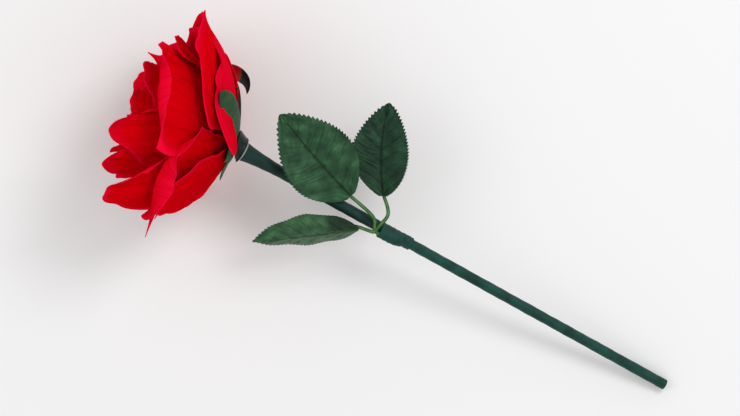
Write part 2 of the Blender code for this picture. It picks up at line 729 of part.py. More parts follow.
def bounds(items):
    """The lowest and highest corner of all the finished shapes."""
    bpy.context.view_layer.update()
    graph = bpy.context.evaluated_depsgraph_get()
    low, high = np.full(3, np.inf), np.full(3, -np.inf)
    for item in items:
        seen = item.evaluated_get(graph)
        mesh = seen.to_mesh()
        places = np.array([seen.matrix_world @ vertex.co for vertex in mesh.vertices])
        low, high = np.minimum(low, places.min(0)), np.maximum(high, places.max(0))
        seen.to_mesh_clear()
    return low, high


def lay_on_table(items):
    """Moves everything so that the lowest point is at height 0 and the box is centred on it."""
    low, high = bounds(items)
    shift = Vector((-(low[0] + high[0]) / 2, -(low[1] + high[1]) / 2, -low[2]))
    for item in items:
        item.matrix_world = Matrix.Translation(shift) @ item.matrix_world
    for item in cutters.objects:
        item.matrix_world = Matrix.Translation(shift) @ item.matrix_world
    print("moved by", [round(value * 1000, 3) for value in shift], "mm")
    return shift


clear_scene()
rose = bpy.data.collections.new("rose")
cutters = bpy.data.collections.new("rose_cutters")
bpy.context.scene.collection.children.link(rose)
bpy.context.scene.collection.children.link(cutters)

red_paper = finish("red_petal", (0.66, 0.002, 0.012), 0.6)
green_cloth = finish("green_leaf_cloth", (0.03, 0.09, 0.035), 0.65)
green_plastic = finish("green_stalk_plastic", (0.06, 0.19, 0.05), 0.45)
dark_plastic = finish("dark_collar_plastic", (0.008, 0.025, 0.02), 0.4)
green_tape = finish("green_stem_tape", (0.006, 0.05, 0.035), 0.55)
rod_plastic = finish("rod_plastic", (0.05, 0.10, 0.07), 0.5)
hip_plastic = finish("hip_plastic", (0.05, 0.12, 0.05), 0.5)

make_stem(rod_plastic, green_tape)
make_neck(green_tape)
make_collar(dark_plastic)
make_hip(hip_plastic)
make_binding(green_tape)
make_calyx(green_cloth)
for petal_name, petal_shape in PETALS.items():
    make_petal(petal_name, petal_shape, red_paper)
make_bud(red_paper)
for leaf_name, leaf_shape in LEAVES.items():
    make_leaf(leaf_name, leaf_shape, green_cloth)
make_spray(green_plastic)
table_shift = lay_on_table(list(rose.objects))
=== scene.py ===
# %% [markdown]
# # An artificial rose lying on a table
# The real rose is put together from many thin pieces: red petals glued in rings round a small
# core, five green sepals, a dark collar, a taped stem and three pressed leaves on moulded stalks.
# We load the solid model first, and then make each piece again with its fine surface.

# %% Load the frame
import math
from collections import namedtuple

import bmesh
import bpy
import numpy as np
from mathutils import Matrix, Vector


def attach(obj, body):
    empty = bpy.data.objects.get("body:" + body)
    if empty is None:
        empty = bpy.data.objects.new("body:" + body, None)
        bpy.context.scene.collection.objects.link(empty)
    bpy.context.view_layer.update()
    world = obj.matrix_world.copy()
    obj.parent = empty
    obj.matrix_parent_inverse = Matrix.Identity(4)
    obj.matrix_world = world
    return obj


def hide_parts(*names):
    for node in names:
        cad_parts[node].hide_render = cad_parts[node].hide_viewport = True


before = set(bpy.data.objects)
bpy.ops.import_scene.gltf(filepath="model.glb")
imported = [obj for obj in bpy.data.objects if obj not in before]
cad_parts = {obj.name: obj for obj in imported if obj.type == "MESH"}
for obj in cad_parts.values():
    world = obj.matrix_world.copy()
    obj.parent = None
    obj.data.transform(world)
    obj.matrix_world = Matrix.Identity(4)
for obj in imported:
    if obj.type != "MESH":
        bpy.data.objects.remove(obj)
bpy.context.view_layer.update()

MM = 0.001
DEGREE = math.pi / 180

# %% [markdown]
# ## Camera, light and table
# The photograph looks straight down on a white table from far away, so the camera gets a long
# lens and hardly any perspective. A white surround lights the rose from all sides, a large lamp
# from the upper right gives the petals their soft shading, and a weaker one fills from the left.

# %% Camera
def new_object(name, data):
    """Adds an object with this data to the scene."""
    item = bpy.data.objects.new(name, data)
    bpy.context.scene.collection.objects.link(item)
    return item


MM_PER_PIXEL = 0.57
PICTURE_WIDTH = 421.8 * MM
FRAME_CENTRE, COLLAR_IN_FRAME = (370, 208), (242.45, 150.85)
SENSOR_MM = 36
CAMERA_DISTANCE = 4.0
AIM_HEIGHT = 55 * MM
STEM_SLANT = 29.0 * DEGREE
SHIFT = Vector((-0.101077, 0.002484, 0.000117))
picture_right = Vector((math.cos(STEM_SLANT), math.sin(STEM_SLANT), 0))
picture_up = Vector((-math.sin(STEM_SLANT), math.cos(STEM_SLANT), 0))

camera_data = bpy.data.cameras.new("camera")
camera_data.sensor_width = SENSOR_MM
camera_data.lens = SENSOR_MM * CAMERA_DISTANCE / PICTURE_WIDTH
camera_data.clip_start = 0.1
camera_data.clip_end = 60
camera = new_object("camera", camera_data)
across_centre = (FRAME_CENTRE[0] - COLLAR_IN_FRAME[0]) * MM_PER_PIXEL * MM
down_centre = (FRAME_CENTRE[1] - COLLAR_IN_FRAME[1]) * MM_PER_PIXEL * MM
aim = SHIFT + picture_right * across_centre - picture_up * down_centre
aim.z = AIM_HEIGHT
camera.matrix_world = Matrix.Translation(aim + Vector((0, 0, CAMERA_DISTANCE))) @ Matrix.Rotation(
    STEM_SLANT, 4, "Z"
)
bpy.context.scene.camera = camera
bpy.context.scene.view_settings.view_transform = "Standard"
print("camera aims at", [round(v, 4) for v in aim])


# %% [markdown]
# ## Small helpers
# A finish is a small graph of nodes. One helper adds a node and sets its sockets, one turns a
# colour code into the linear numbers Blender works with, and one hangs up a round lamp.

# %% One helper each for nodes, colours and lamps
def linear(code):
    """Linear red, green, blue and alpha of an sRGB hex colour."""
    parts = [int(code[i : i + 2], 16) / 255 for i in (1, 3, 5)]
    return (*[c / 12.92 if c <= 0.04045 else ((c + 0.055) / 1.055) ** 2.4 for c in parts], 1)


def add(tree, kind, inputs=(), **settings):
    """Adds a node, sets it up and links or fills its sockets. Returns its first output."""
    node = tree.nodes.new(kind)
    for name, value in settings.items():
        setattr(node, name, value)
    for socket, value in dict(inputs).items():
        if isinstance(value, bpy.types.NodeSocket):
            tree.links.new(value, node.inputs[socket])
        else:
            node.inputs[socket].default_value = value
    return node.outputs[0] if node.outputs else node


def lamp(name, place, size, watts):
    data = bpy.data.lights.new(name, "AREA")
    data.shape = "DISK"
    data.size = size
    data.energy = watts
    item = new_object(name, data)
    item.location = place
    item.rotation_mode = "QUATERNION"
    item.rotation_quaternion = (aim - Vector(place)).to_track_quat("-Z", "Y")


# %% Surround, lamps and table
SURROUND_STRENGTH = 0.74
KEY_SIZE, KEY_WATTS = 0.7, 10
FILL_SIZE, FILL_WATTS = 1.2, 3
TABLE_HALF_WIDTH, TABLE_DROP = 20, 0.4 * MM

world = bpy.data.worlds.new("white_surround")
bpy.context.scene.world = world
world.use_nodes = True
tree = world.node_tree
tree.nodes.clear()
white = {"Color": (1, 1, 1, 1), "Strength": SURROUND_STRENGTH}
glow = add(tree, "ShaderNodeBackground", white)
seen = add(tree, "ShaderNodeBackground", {"Color": linear("#f4f4f4"), "Strength": 1.0})
ray = tree.nodes.new("ShaderNodeLightPath")
either = add(tree, "ShaderNodeMixShader", {0: ray.outputs["Is Camera Ray"], 1: glow, 2: seen})
add(tree, "ShaderNodeOutputWorld", {"Surface": either})

key_place = aim + picture_right * 0.75 + picture_up * 0.75 + Vector((0, 0, 1.5))
fill_place = aim - picture_right * 1.1 + picture_up * 0.1 + Vector((0, 0, 1.3))
lamp("key_lamp", key_place, KEY_SIZE, KEY_WATTS)
lamp("fill_lamp", fill_place, FILL_SIZE, FILL_WATTS)

floor_mesh = bpy.data.meshes.new("table")
shape = bmesh.new()
bmesh.ops.create_grid(shape, x_segments=1, y_segments=1, size=TABLE_HALF_WIDTH)
shape.to_mesh(floor_mesh)
shape.free()
table = new_object("table", floor_mesh)
paint = bpy.data.materials.new("white_table_top")
paint.use_nodes = True
board = paint.node_tree.nodes["Principled BSDF"]
board.inputs["Base Color"].default_value = linear("#f2f2f2")
board.inputs["Roughness"].default_value = 0.9
floor_mesh.materials.append(paint)
table.location.z = -TABLE_DROP
print("lamps hung and table laid")

# %% [markdown]
# ## The flower's own directions
# The stem falls from the flower to its foot. The flower turns away from the stem at the collar,
# and every petal is placed by three numbers: how far forward along the flower's axis, how far
# out from it, and at which angle round it.

# %% Directions and places
CLEARANCE = 0.3 * MM
TAPE_RADIUS = 3.0 * MM
STEM_LENGTH = 283.5 * MM
NECK_LENGTH = 90.0 * MM
FLOWER_HEIGHT = 61.8 * MM
FLOWER_TURN = 15.5 * DEGREE
FLOWER_SETBACK = 8.3 * MM
FLOWER_SIDE_STEP = 1.2 * MM
STEM_FALL = math.asin((FLOWER_HEIGHT - TAPE_RADIUS) / (STEM_LENGTH + FLOWER_SETBACK))
UP = Vector((0, 0, 1))
stem_way = Vector((math.cos(STEM_FALL), 0, -math.sin(STEM_FALL)))
flower_axis = Vector((-math.cos(FLOWER_TURN), -math.sin(FLOWER_TURN), 0))
flower_side = Vector((-math.sin(FLOWER_TURN), math.cos(FLOWER_TURN), 0))
flower_base = SHIFT + Vector(
    (-FLOWER_SETBACK * math.cos(STEM_FALL), FLOWER_SIDE_STEP, FLOWER_HEIGHT)
)
collar_rim = SHIFT + Vector((0, 0, FLOWER_HEIGHT - FLOWER_SETBACK * math.sin(STEM_FALL)))


def along_stem(distance):
    return collar_rim + stem_way * distance


def above_stem(x, y, height):
    """A point in millimetres from the sleeve's end, with its height above the stem's axis."""
    past_rim = NECK_LENGTH + x * MM
    return collar_rim + Vector((past_rim, y * MM, height * MM - past_rim * math.tan(STEM_FALL)))


def in_flower(forward, radius, azimuth):
    axis, side, up = (np.array(v) for v in (flower_axis, flower_side, UP))
    forward, radius, azimuth = (np.asarray(v)[..., None] for v in (forward, radius, azimuth))
    ring = np.cos(azimuth) * side + np.sin(azimuth) * up
    return np.array(flower_base) + forward * axis + radius * ring


print("stem falls", round(STEM_FALL / DEGREE, 2), "degrees")

# %% [markdown]
# ## Petals
# Each whorl of petals lies on one bell, drawn as a Bezier curve from base to rim. A petal is a
# flat grid of faces that we bend onto its bell, round off at the corners and roll back at the
# rim. Working on a grid keeps the faces even, and Solidify then gives the paper its thickness.
# Shallow folds fan out from the base, as they do when crepe paper is stretched over a thumb.

# %% The bells
BELLS_MM = {
    "outer": ((-1.7, 6.8), (1.9, 27.4), (7.2, 48.0), (35.3, 68.5)),
    "fourth": ((1.7, 6.3), (5.7, 25.7), (17.1, 42.8), (42.2, 59.3)),
    "third": ((5.1, 5.4), (11.4, 22.8), (23.9, 49.0), (60.4, 53.6)),
    "second": ((8.0, 4.6), (19.4, 16.0), (34.2, 34.2), (69.5, 37.6)),
    "first": ((10.3, 3.6), (25.1, 9.1), (39.9, 21.7), (67.3, 19.4)),
}
# where the upper whorls stand closer: azimuth, width, and the outer and fourth bell's turn
CLOSER = ((66, 30, 12, 2), (158, 38, 11, 4))


def bell_section(bell, reach):
    """Points of a bell's half section and its outward normals, at shares of its length."""
    a, b, c, d = np.array(BELLS_MM[bell]) * MM
    t = np.asarray(reach)[..., None]
    u = 1 - t
    point = u**3 * a + 3 * u**2 * t * b + 3 * u * t**2 * c + t**3 * d
    slope = u**2 * (b - a) + 2 * u * t * (c - b) + t**2 * (d - c)
    slope /= np.linalg.norm(slope, axis=-1, keepdims=True)
    return point, np.stack((-slope[..., 1], slope[..., 0]), axis=-1)


def closer_section(bell, reach, azimuth):
    """The section where the upper petals stand closer, turned about the bell's base."""
    point, normal = bell_section(bell, reach)
    turn = 0.0
    for middle, width, outer, fourth in CLOSER:
        away = (np.asarray(azimuth) / DEGREE - middle + 180) % 360 - 180
        most = {"outer": outer, "fourth": fourth}.get(bell, 0) * DEGREE
        turn = turn + most * np.exp(-((away / width) ** 2))
    cos, sin = np.cos(turn), np.sin(turn)
    base = np.array(BELLS_MM[bell][0]) * MM
    moved = []
    for pair in (point - base, normal):
        forward = pair[..., 0] * cos + pair[..., 1] * sin
        outward = pair[..., 1] * cos - pair[..., 0] * sin
        moved.append(np.stack((forward, outward), axis=-1))
    return moved[0] + base, moved[1]


# %% [markdown]
# ## One row of numbers for each petal
# No two petals of the real rose are alike: each is cut from flat paper and pulled by hand. A row
# holds a petal's place, width and length, how far its rim rolls back, and where its edge was cut.
# The front petals' numbers come from the photograph, the others carry the same order on behind.

# %% The petals' shapes
Petal = namedtuple(
    "Petal",
    "bell azimuth spread reach widest skew roundness point curl curl_at curl_width wave phase "
    "tail cut bumps curl_from fold pink",
    defaults=(None, (), (), 0.8, 1.0, 0.0),
)
PETALS = {
    "outer_petal_1": Petal(
        "outer", 14, 52, 0.98, -0.4, 0, 0.5, 0.05, 30, 20, 50, 1.2, 0,
        cut=((1, 0.6, 0.42, -34), (1, 0.38, 0.18, -8), (1, 0.05, 0.18, 4), (1, -0.3, 0.2, 32)),
        # painted highlight: the upper part of this petal is brightened to a pinkish red, where
        # light falls on it
        bumps=((0.95, -0.38, 0.3, 7.0),), pink=0.5,
    ),
    "outer_petal_2": Petal(
        "outer", 142, 34, 0.88, -0.05, 4, 0.8, 0.15, 25, -20, 60, 1.0, 40, (-0.1, 1, -18, 2)
    ),
    "outer_petal_3": Petal("outer", 244, 44, 0.92, 0.0, 0, 0.8, 0.1, 40, 10, 60, 1.0, 80),
    "outer_petal_4": Petal("outer", 296, 44, 0.92, 0.0, 0, 0.8, 0.1, 40, 10, 60, 1.0, 120),
    "fourth_petal_1": Petal(
        "fourth", 12, 56, 0.99, -0.15, 0, 0.5, 0.1, 30, 20, 50, 0.8, 0,
        cut=((1, 0.85, 0.35, -16), (1, -0.05, 0.4, 14)), bumps=((0.1, 1.0, 0.65, 13.0),),
    ),
    "fourth_petal_2": Petal(
        "fourth", 131, 48, 1.03, 0.0, 0, 0.7, 0.05, 165, -20, 48, 0.8, 40,
        cut=((1, 0.9, 0.5, -12),), curl_from=0.68, fold=0.35,
    ),
    "fourth_petal_3": Petal("fourth", 200, 44, 0.87, 0.0, 0, 0.8, 0.1, 40, 20, 60, 0.8, 80),
    "fourth_petal_4": Petal("fourth", 262, 44, 0.93, 0.0, 0, 0.8, 0.1, 40, 20, 60, 0.8, 120),
    "fourth_petal_5": Petal("fourth", 330, 46, 0.98, 0.0, 0, 0.4, 0.1, 40, 20, 60, 0.8, 160),
    "third_petal_1": Petal(
        "third", 58, 51, 0.95, 0.0, 0, 0.4, 0.0, 150, 22, 42, 0.8, 0,
        cut=((1, 0.9, 0.4, 12), (-1, 0.9, 0.4, 10)), curl_from=0.78, fold=0.45,
    ),
    "third_petal_2": Petal(
        "third", 126, 32, 1.03, 0.0, 17, 0.8, 0.3, 130, -70, 42, 0.8, 40,
        cut=((-1, 0.8, 0.5, 8),), curl_from=0.76, fold=0.5,
    ),
    "third_petal_3": Petal("third", 216, 46, 0.93, 0.0, 0, 0.8, 0.1, 40, 20, 60, 0.8, 80),
    "third_petal_4": Petal(
        "third", 306, 48, 0.93, 0.0, 0, 0.5, 0.1, 40, 20, 60, 0.8, 120, (0.1, 9, 3, 4)
    ),
    "third_petal_5": Petal(
        "third", 2, 46, 0.85, 0.0, 8, 0.5, 0.1, 30, 20, 50, 0.8, 160, cut=((1, 0.3, 0.9, -26),)
    ),
    "second_petal_1": Petal("second", 84, 42, 1.00, 0.0, 20, 0.6, 0.8, 40, 0, 60, 0.6, 0),
    "second_petal_2": Petal("second", 135, 40, 0.99, 0.0, 0, 0.6, 0.6, 40, 0, 60, 0.6, 40),
    "second_petal_3": Petal("second", 220, 44, 0.93, 0.0, 0, 0.8, 0.1, 30, 0, 60, 0.6, 80),
    "second_petal_4": Petal("second", 300, 44, 0.94, 0.0, 0, 0.8, 0.1, 30, 0, 60, 0.6, 120),
    "second_petal_5": Petal("second", 24, 46, 0.89, 0.0, 14, 0.7, 0.1, 30, 0, 60, 0.6, 160),
    "first_petal_1": Petal("first", 60, 72, 0.92, 0.0, 0, 0.8, 0.1, 20, 0, 60, 0.4, 0),
    "first_petal_2": Petal("first", 180, 72, 0.98, 0.0, 0, 0.8, 0.1, 20, 0, 60, 0.4, 40),
    "first_petal_3": Petal("first", 300, 72, 0.92, 0.0, 0, 0.8, 0.1, 20, 0, 60, 0.4, 80),
}
PETAL_THICKNESS = 0.35 * MM  # the real paper is thinner, which would hardly show
WHORL_STEP = 72 * DEGREE
LAP_AT_BASE, LAP_AT_RIM = 0.8 * MM, 4.0 * MM
TAIL_HALF_WIDTH = 0.24
FOLD_DEPTH = 0.8 * MM
FLUTTER = 1.3 * MM
RAGGED = 0.02


def on_petal(petal, across, along, lift=0.0):
    """Points of a petal before its rim rolls back, from grid places between -1 and 1."""
    upper = np.maximum(along, 0)
    round_off = petal.roundness / 2
    start = petal.phase * 1.7 + petal.azimuth
    to_rim = np.sqrt(1 - (1 - across**2) * (1 - upper**2))
    turn = np.arctan2(across, along + 0.6)
    nicks = np.sin(9 * turn + start) + 0.7 * np.sin(21 * turn + 2 * start)
    nicks = 1 + RAGGED * nicks * np.clip((to_rim - 0.5) * 2, 0, 1)
    x = across * np.sqrt(1 - round_off * upper**2) * nicks
    y = along * np.sqrt(1 - round_off * across**2 * (along > 0))
    y = y * np.where(along > 0, nicks, 1) - petal.point * np.abs(across) ** 1.5 * upper**2
    reach = np.maximum((y + 1) / 2, 0) * petal.reach
    centre = petal.azimuth * DEGREE
    lean = petal.skew * DEGREE * ((along + 1) / 2) ** 2
    azimuth = centre + lean + petal.spread * DEGREE * (1 + petal.widest * y) * x
    for side, place, width, degrees in petal.cut:
        near = np.exp(-(((along - place) / width) ** 2))
        azimuth = azimuth + degrees * DEGREE * near * np.maximum(across * side, 0) ** 2
    lap = (LAP_AT_BASE + (LAP_AT_RIM - LAP_AT_BASE) * reach) * (azimuth - centre) / WHORL_STEP
    ripple = petal.wave * MM * reach**3 * np.sin(4 * across + petal.phase * DEGREE)
    fans = 0.55 * np.sin(9 * x + start + 1.2 * y) + 0.3 * np.sin(17 * x + 2.1 * start - 1.5 * y)
    fans += 0.2 * np.sin(29 * x + 0.7 * start + 2.5 * y)
    edge = np.clip((to_rim - 0.65) / 0.35, 0, 1) ** 2 * np.clip(reach * 2 - 0.4, 0, 1)
    flutter = FLUTTER * edge * (np.sin(5 * turn + start) + 0.5 * np.sin(11 * turn + 1.3 * start))
    offset = lap + ripple + lift + FOLD_DEPTH * fans * reach**1.5 + flutter
    for sideways, up, width, height in petal.bumps:
        away = ((across - sideways) ** 2 + (along - up) ** 2) / width**2
        offset = offset + height * MM * np.exp(-away)
    point, normal = closer_section(petal.bell, reach, azimuth)
    point = point + normal * offset[..., None]
    return in_flower(point[..., 0], point[..., 1], azimuth)


def petal_points(petal, across, along):
    """Points of a petal whose rim rolls back with an even bend."""
    outer = np.maximum(along, 0)
    to_rim = np.sqrt(1 - (1 - across**2) * (1 - outer**2))
    inside = np.minimum(1, petal.curl_from / np.maximum(to_rim, 1e-6))
    start = on_petal(petal, across * inside, along * inside)
    flat = on_petal(petal, across, along)
    ahead = on_petal(petal, across * inside * 1.01, along * inside * 1.01) - start
    ahead /= np.linalg.norm(ahead, axis=-1, keepdims=True) + 1e-12
    out = on_petal(petal, across * inside, along * inside, lift=MM) - start
    out -= (out * ahead).sum(-1, keepdims=True) * ahead
    out /= np.linalg.norm(out, axis=-1, keepdims=True)
    length = np.linalg.norm(flat - start, axis=-1)
    place = np.degrees(np.arctan2(across, along))
    weight = np.exp(-(((place - petal.curl_at) / petal.curl_width) ** 2))
    depth = np.clip((to_rim - petal.curl_from) / (1 - petal.curl_from), 0, 1)
    most = np.maximum(petal.curl * DEGREE * weight, 1e-4)
    bend = np.maximum(np.minimum(most * depth / petal.fold, most), 1e-5)
    radius = length / np.maximum(depth, 1e-4) * petal.fold / most
    past = length - radius * bend
    rolled = start + ahead * (radius * np.sin(bend) + past * np.cos(bend))[..., None]
    rolled = rolled + out * (radius * (1 - np.cos(bend)) + past * np.sin(bend))[..., None]
    keep = np.clip(weight * 4, 0, 1)[..., None]
    rolls = (to_rim > petal.curl_from)[..., None]
    points = np.where(rolls, flat * (1 - keep) + rolled * keep, flat)
    if petal.tail:
        place, forward, sideways, slimness = petal.tail
        near = np.clip(1 - np.abs(across - place) / TAIL_HALF_WIDTH, 0, 1) ** slimness
        share = near * np.clip((along - 0.8) / 0.2, 0, 1) ** 2
        way = np.array(flower_axis) * forward * MM + np.array(flower_side) * sideways * MM
        points = points + share[..., None] * way
    return points, to_rim, weight * depth * math.sin(min(petal.curl, 90) * DEGREE)


# %% [markdown]
# ## Crepe paper
# The petals are red crepe paper, stretched until most of its creases are gone. What stays is a
# very fine grain along the petal and a matt face. The deeper red towards the base is painted
# shade, where little light gets in, and the brighter, pinkish rim is a painted highlight.


# %% A finish for the petals
def new_finish(name):
    """A material with its tree, its shader and an empty place for the colour."""
    material = bpy.data.materials.new(name)
    material.use_nodes = True
    return material, material.node_tree, material.node_tree.nodes["Principled BSDF"]


def per(millimetres):
    """The scale at which a pattern on coordinates in metres repeats after so many mm."""
    return 1000 / millimetres


def bands(millimetres):
    """The scale at which a wave's bands on coordinates in metres are so many mm apart."""
    return 2 * math.pi / 20 * per(millimetres)


GRAIN_MM = 0.7  # real crepe has about 0.4 mm between its creases, too fine to show here
crepe, tree, shader = new_finish("stretched_crepe_paper")
sheet_map = add(tree, "ShaderNodeUVMap", uv_map="paper")
reach = add(tree, "ShaderNodeAttribute", attribute_name="reach").node.outputs["Fac"]
edge = add(tree, "ShaderNodeAttribute", attribute_name="edge").node.outputs["Fac"]
# painted shade: the red darkens towards the base, where little light gets in
body = tree.nodes.new("ShaderNodeValToRGB")
for stop, place, colour in zip(body.color_ramp.elements, (0.12, 0.75), ("#a00006", "#e00010")):
    stop.position, stop.color = place, linear(colour)
tree.links.new(reach, body.inputs[0])
clouds = add(tree, "ShaderNodeTexNoise", {"Vector": sheet_map, "Scale": per(14), "Detail": 3})
layers = {0: clouds, 6: body.outputs[0], 7: linear("#c60008")}
add(tree, "ShaderNodeMix", layers, data_type="RGBA")
patchy = tree.nodes[-1].outputs[2]
# painted highlight: rims, rolled-back lips and the first outer petal's upper part turn pinkish
# where light catches them
layers = {0: edge, 6: patchy, 7: linear("#ee0a34")}
add(tree, "ShaderNodeMix", layers, data_type="RGBA")
rim_highlighted = tree.nodes[-1].outputs[2]
stretch = add(tree, "ShaderNodeMapping", {"Vector": sheet_map, "Scale": (1, 0.06, 1)})
streaks = add(tree, "ShaderNodeTexNoise", {"Vector": stretch, "Scale": per(3.2), "Detail": 4})
span = {"Value": streaks, "From Min": 0.45, "From Max": 0.85, "To Max": 0.6}
depth = add(tree, "ShaderNodeMapRange", span)
layers = {0: depth, 6: rim_highlighted, 7: linear("#a30008")}
add(tree, "ShaderNodeMix", layers, data_type="RGBA")
tree.links.new(tree.nodes[-1].outputs[2], shader.inputs["Base Color"])
grain = {"Vector": stretch, "Scale": per(GRAIN_MM), "Detail": 2}
creases = add(tree, "ShaderNodeTexNoise", grain)
bump = add(tree, "ShaderNodeBump", {"Height": creases, "Strength": 0.6, "Distance": 0.15 * MM})
tree.links.new(bump, shader.inputs["Normal"])
shader.inputs["Roughness"].default_value = 0.7
shader.inputs["Sheen Weight"].default_value = 0.03
shader.inputs["Sheen Roughness"].default_value = 0.4
shader.inputs["Sheen Tint"].default_value = linear("#ff3a60")
shader.inputs["Specular IOR Level"].default_value = 0.0
print("finish made:", crepe.name)

# %% [markdown]
# The grid is made by one bmesh operator, and numpy moves all its corners at once. Each corner
# remembers where it is on the flat sheet, so the grain can follow the paper, and how near the
# rim it is, so a painted highlight can brighten the rim there.


# %% Make the petals
def even_to_edge(places, share=0.35):
    """Moves grid lines closer together towards -1 and 1."""
    return places * (1 - share) + np.sin(places * math.pi / 2) * share


def shape_object(name, shape, material, thickness, offset):
    """An object from a bmesh, with its finish and the thickness of its wall."""
    mesh = bpy.data.meshes.new(name)
    shape.to_mesh(mesh)
    shape.free()
    mesh.shade_smooth()
    mesh.materials.append(material)
    item = new_object(name, mesh)
    if thickness:
        wall = item.modifiers.new("wall", "SOLIDIFY")
        wall.thickness, wall.offset = thickness, offset
    return item


def sheet_object(name, shape, material, facts, flat_mm, thickness):
    """An object from a bent grid, with its flat map and its per-corner facts."""
    layer = shape.loops.layers.uv.new("paper")
    for face in shape.faces:
        for loop in face.loops:
            loop[layer].uv = flat_mm[loop.vert.index] * MM
    bmesh.ops.recalc_face_normals(shape, faces=shape.faces)
    item = shape_object(name, shape, material, thickness, 0)
    for fact, values in facts.items():
        item.data.attributes.new(fact, "FLOAT", "POINT").data.foreach_set("value", values)
    return item


def flat_grid(columns, rows):
    shape = bmesh.new()
    bmesh.ops.create_grid(shape, x_segments=columns, y_segments=rows, size=1)
    shape.verts.index_update()
    return shape, np.array([vertex.co[:2] for vertex in shape.verts])


PETAL_GRID = 84
TAIL_GATHER = 0.25
RIM_START = 0.93
FLAT_RADIUS_MM, FLAT_HALF_LENGTH_MM = 50, 38
for name, petal in PETALS.items():
    shape, flat = flat_grid(PETAL_GRID, PETAL_GRID)
    across, along = even_to_edge(flat[:, 0]), even_to_edge(flat[:, 1])
    if petal.tail:
        pull = np.exp(-(((across - petal.tail[0]) / TAIL_GATHER) ** 2))
        across = across - (across - petal.tail[0]) * 0.5 * pull
    points, to_rim, rolled = petal_points(petal, across, along)
    points[:, 2] = np.maximum(points[:, 2], PETAL_THICKNESS)  # pressed flat by the table
    for vertex, point in zip(shape.verts, points):
        vertex.co = point
    # painted highlight near the rim, on the rolled lips and on the first outer petal's upper part
    rim = np.clip((to_rim - RIM_START) / 0.07, 0, 1) * (along > -0.6)
    pink = petal.pink * np.clip(1 - 2 * np.maximum(-along - 0.2, 0), 0, 1)
    rim = np.maximum(np.maximum(rim, rolled), pink)
    facts = {"reach": (along + 1) / 2 * petal.reach, "edge": rim}
    width = petal.spread * DEGREE * FLAT_RADIUS_MM
    flat_mm = np.stack((across * width, along * FLAT_HALF_LENGTH_MM), axis=-1)
    piece = sheet_object(name + "_paper", shape, crepe, facts, flat_mm, PETAL_THICKNESS)
    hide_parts(name)
    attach(piece, "root")
print("petals made:", len(PETALS))

# %% [markdown]
# ## The heart
# At the middle is one strip of the same paper, rolled up a little more than twice. It is a long
# grid wound round the axis, fuller at half height than at its ends.

# %% Make the rolled heart
BUD_TURNS = 2.2
BUD_COLUMNS, BUD_ROWS = 160, 40
BUD_BASE, BUD_TIP = 13.6 * MM, 60 * MM
BUD_CORE_RADIUS, BUD_LAP = 1.5 * MM, 1.1 * MM
BUD_FLAT_MM = (90, 46)

shape, flat = flat_grid(BUD_COLUMNS, BUD_ROWS)
turn, height = (flat[:, 0] + 1) / 2, (flat[:, 1] + 1) / 2
swell = 1 + np.sin(math.pi * height) ** 2
radius = (BUD_CORE_RADIUS + BUD_LAP * BUD_TURNS * turn) * swell
tip = BUD_TIP - 5 * MM * turn + 1.5 * MM * np.sin(6 * math.pi * turn)
forward = BUD_BASE + (tip - BUD_BASE) * height
points = in_flower(forward, radius, -2 * math.pi * BUD_TURNS * turn)
for vertex, point in zip(shape.verts, points):
    vertex.co = point
# painted shade darkens the roll's base, and a painted highlight brightens its top edge, as on the
# petals
facts = {"reach": 0.3 + 0.6 * height, "edge": height**6}
flat_mm = np.stack((turn * BUD_FLAT_MM[0], height * BUD_FLAT_MM[1]), axis=-1)
piece = sheet_object("bud_roll_paper", shape, crepe, facts, flat_mm, PETAL_THICKNESS)
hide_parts("bud_roll")
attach(piece, "root")
print("heart made")

# %% [markdown]
# ## Leaves and sepals of pressed cloth
# The leaves are stamped from stiffened cloth in a heated mould. The mould leaves a sunken midrib,
# side veins with puffed cloth between them, and a saw edge. The weave still shows close up. We
# bend a grid to the blade's outline and press the veins into it by moving its corners.

# %% A finish for the leaves
WEAVE_MM = 0.8  # the real threads are about 0.3 mm apart, and would not show at this size


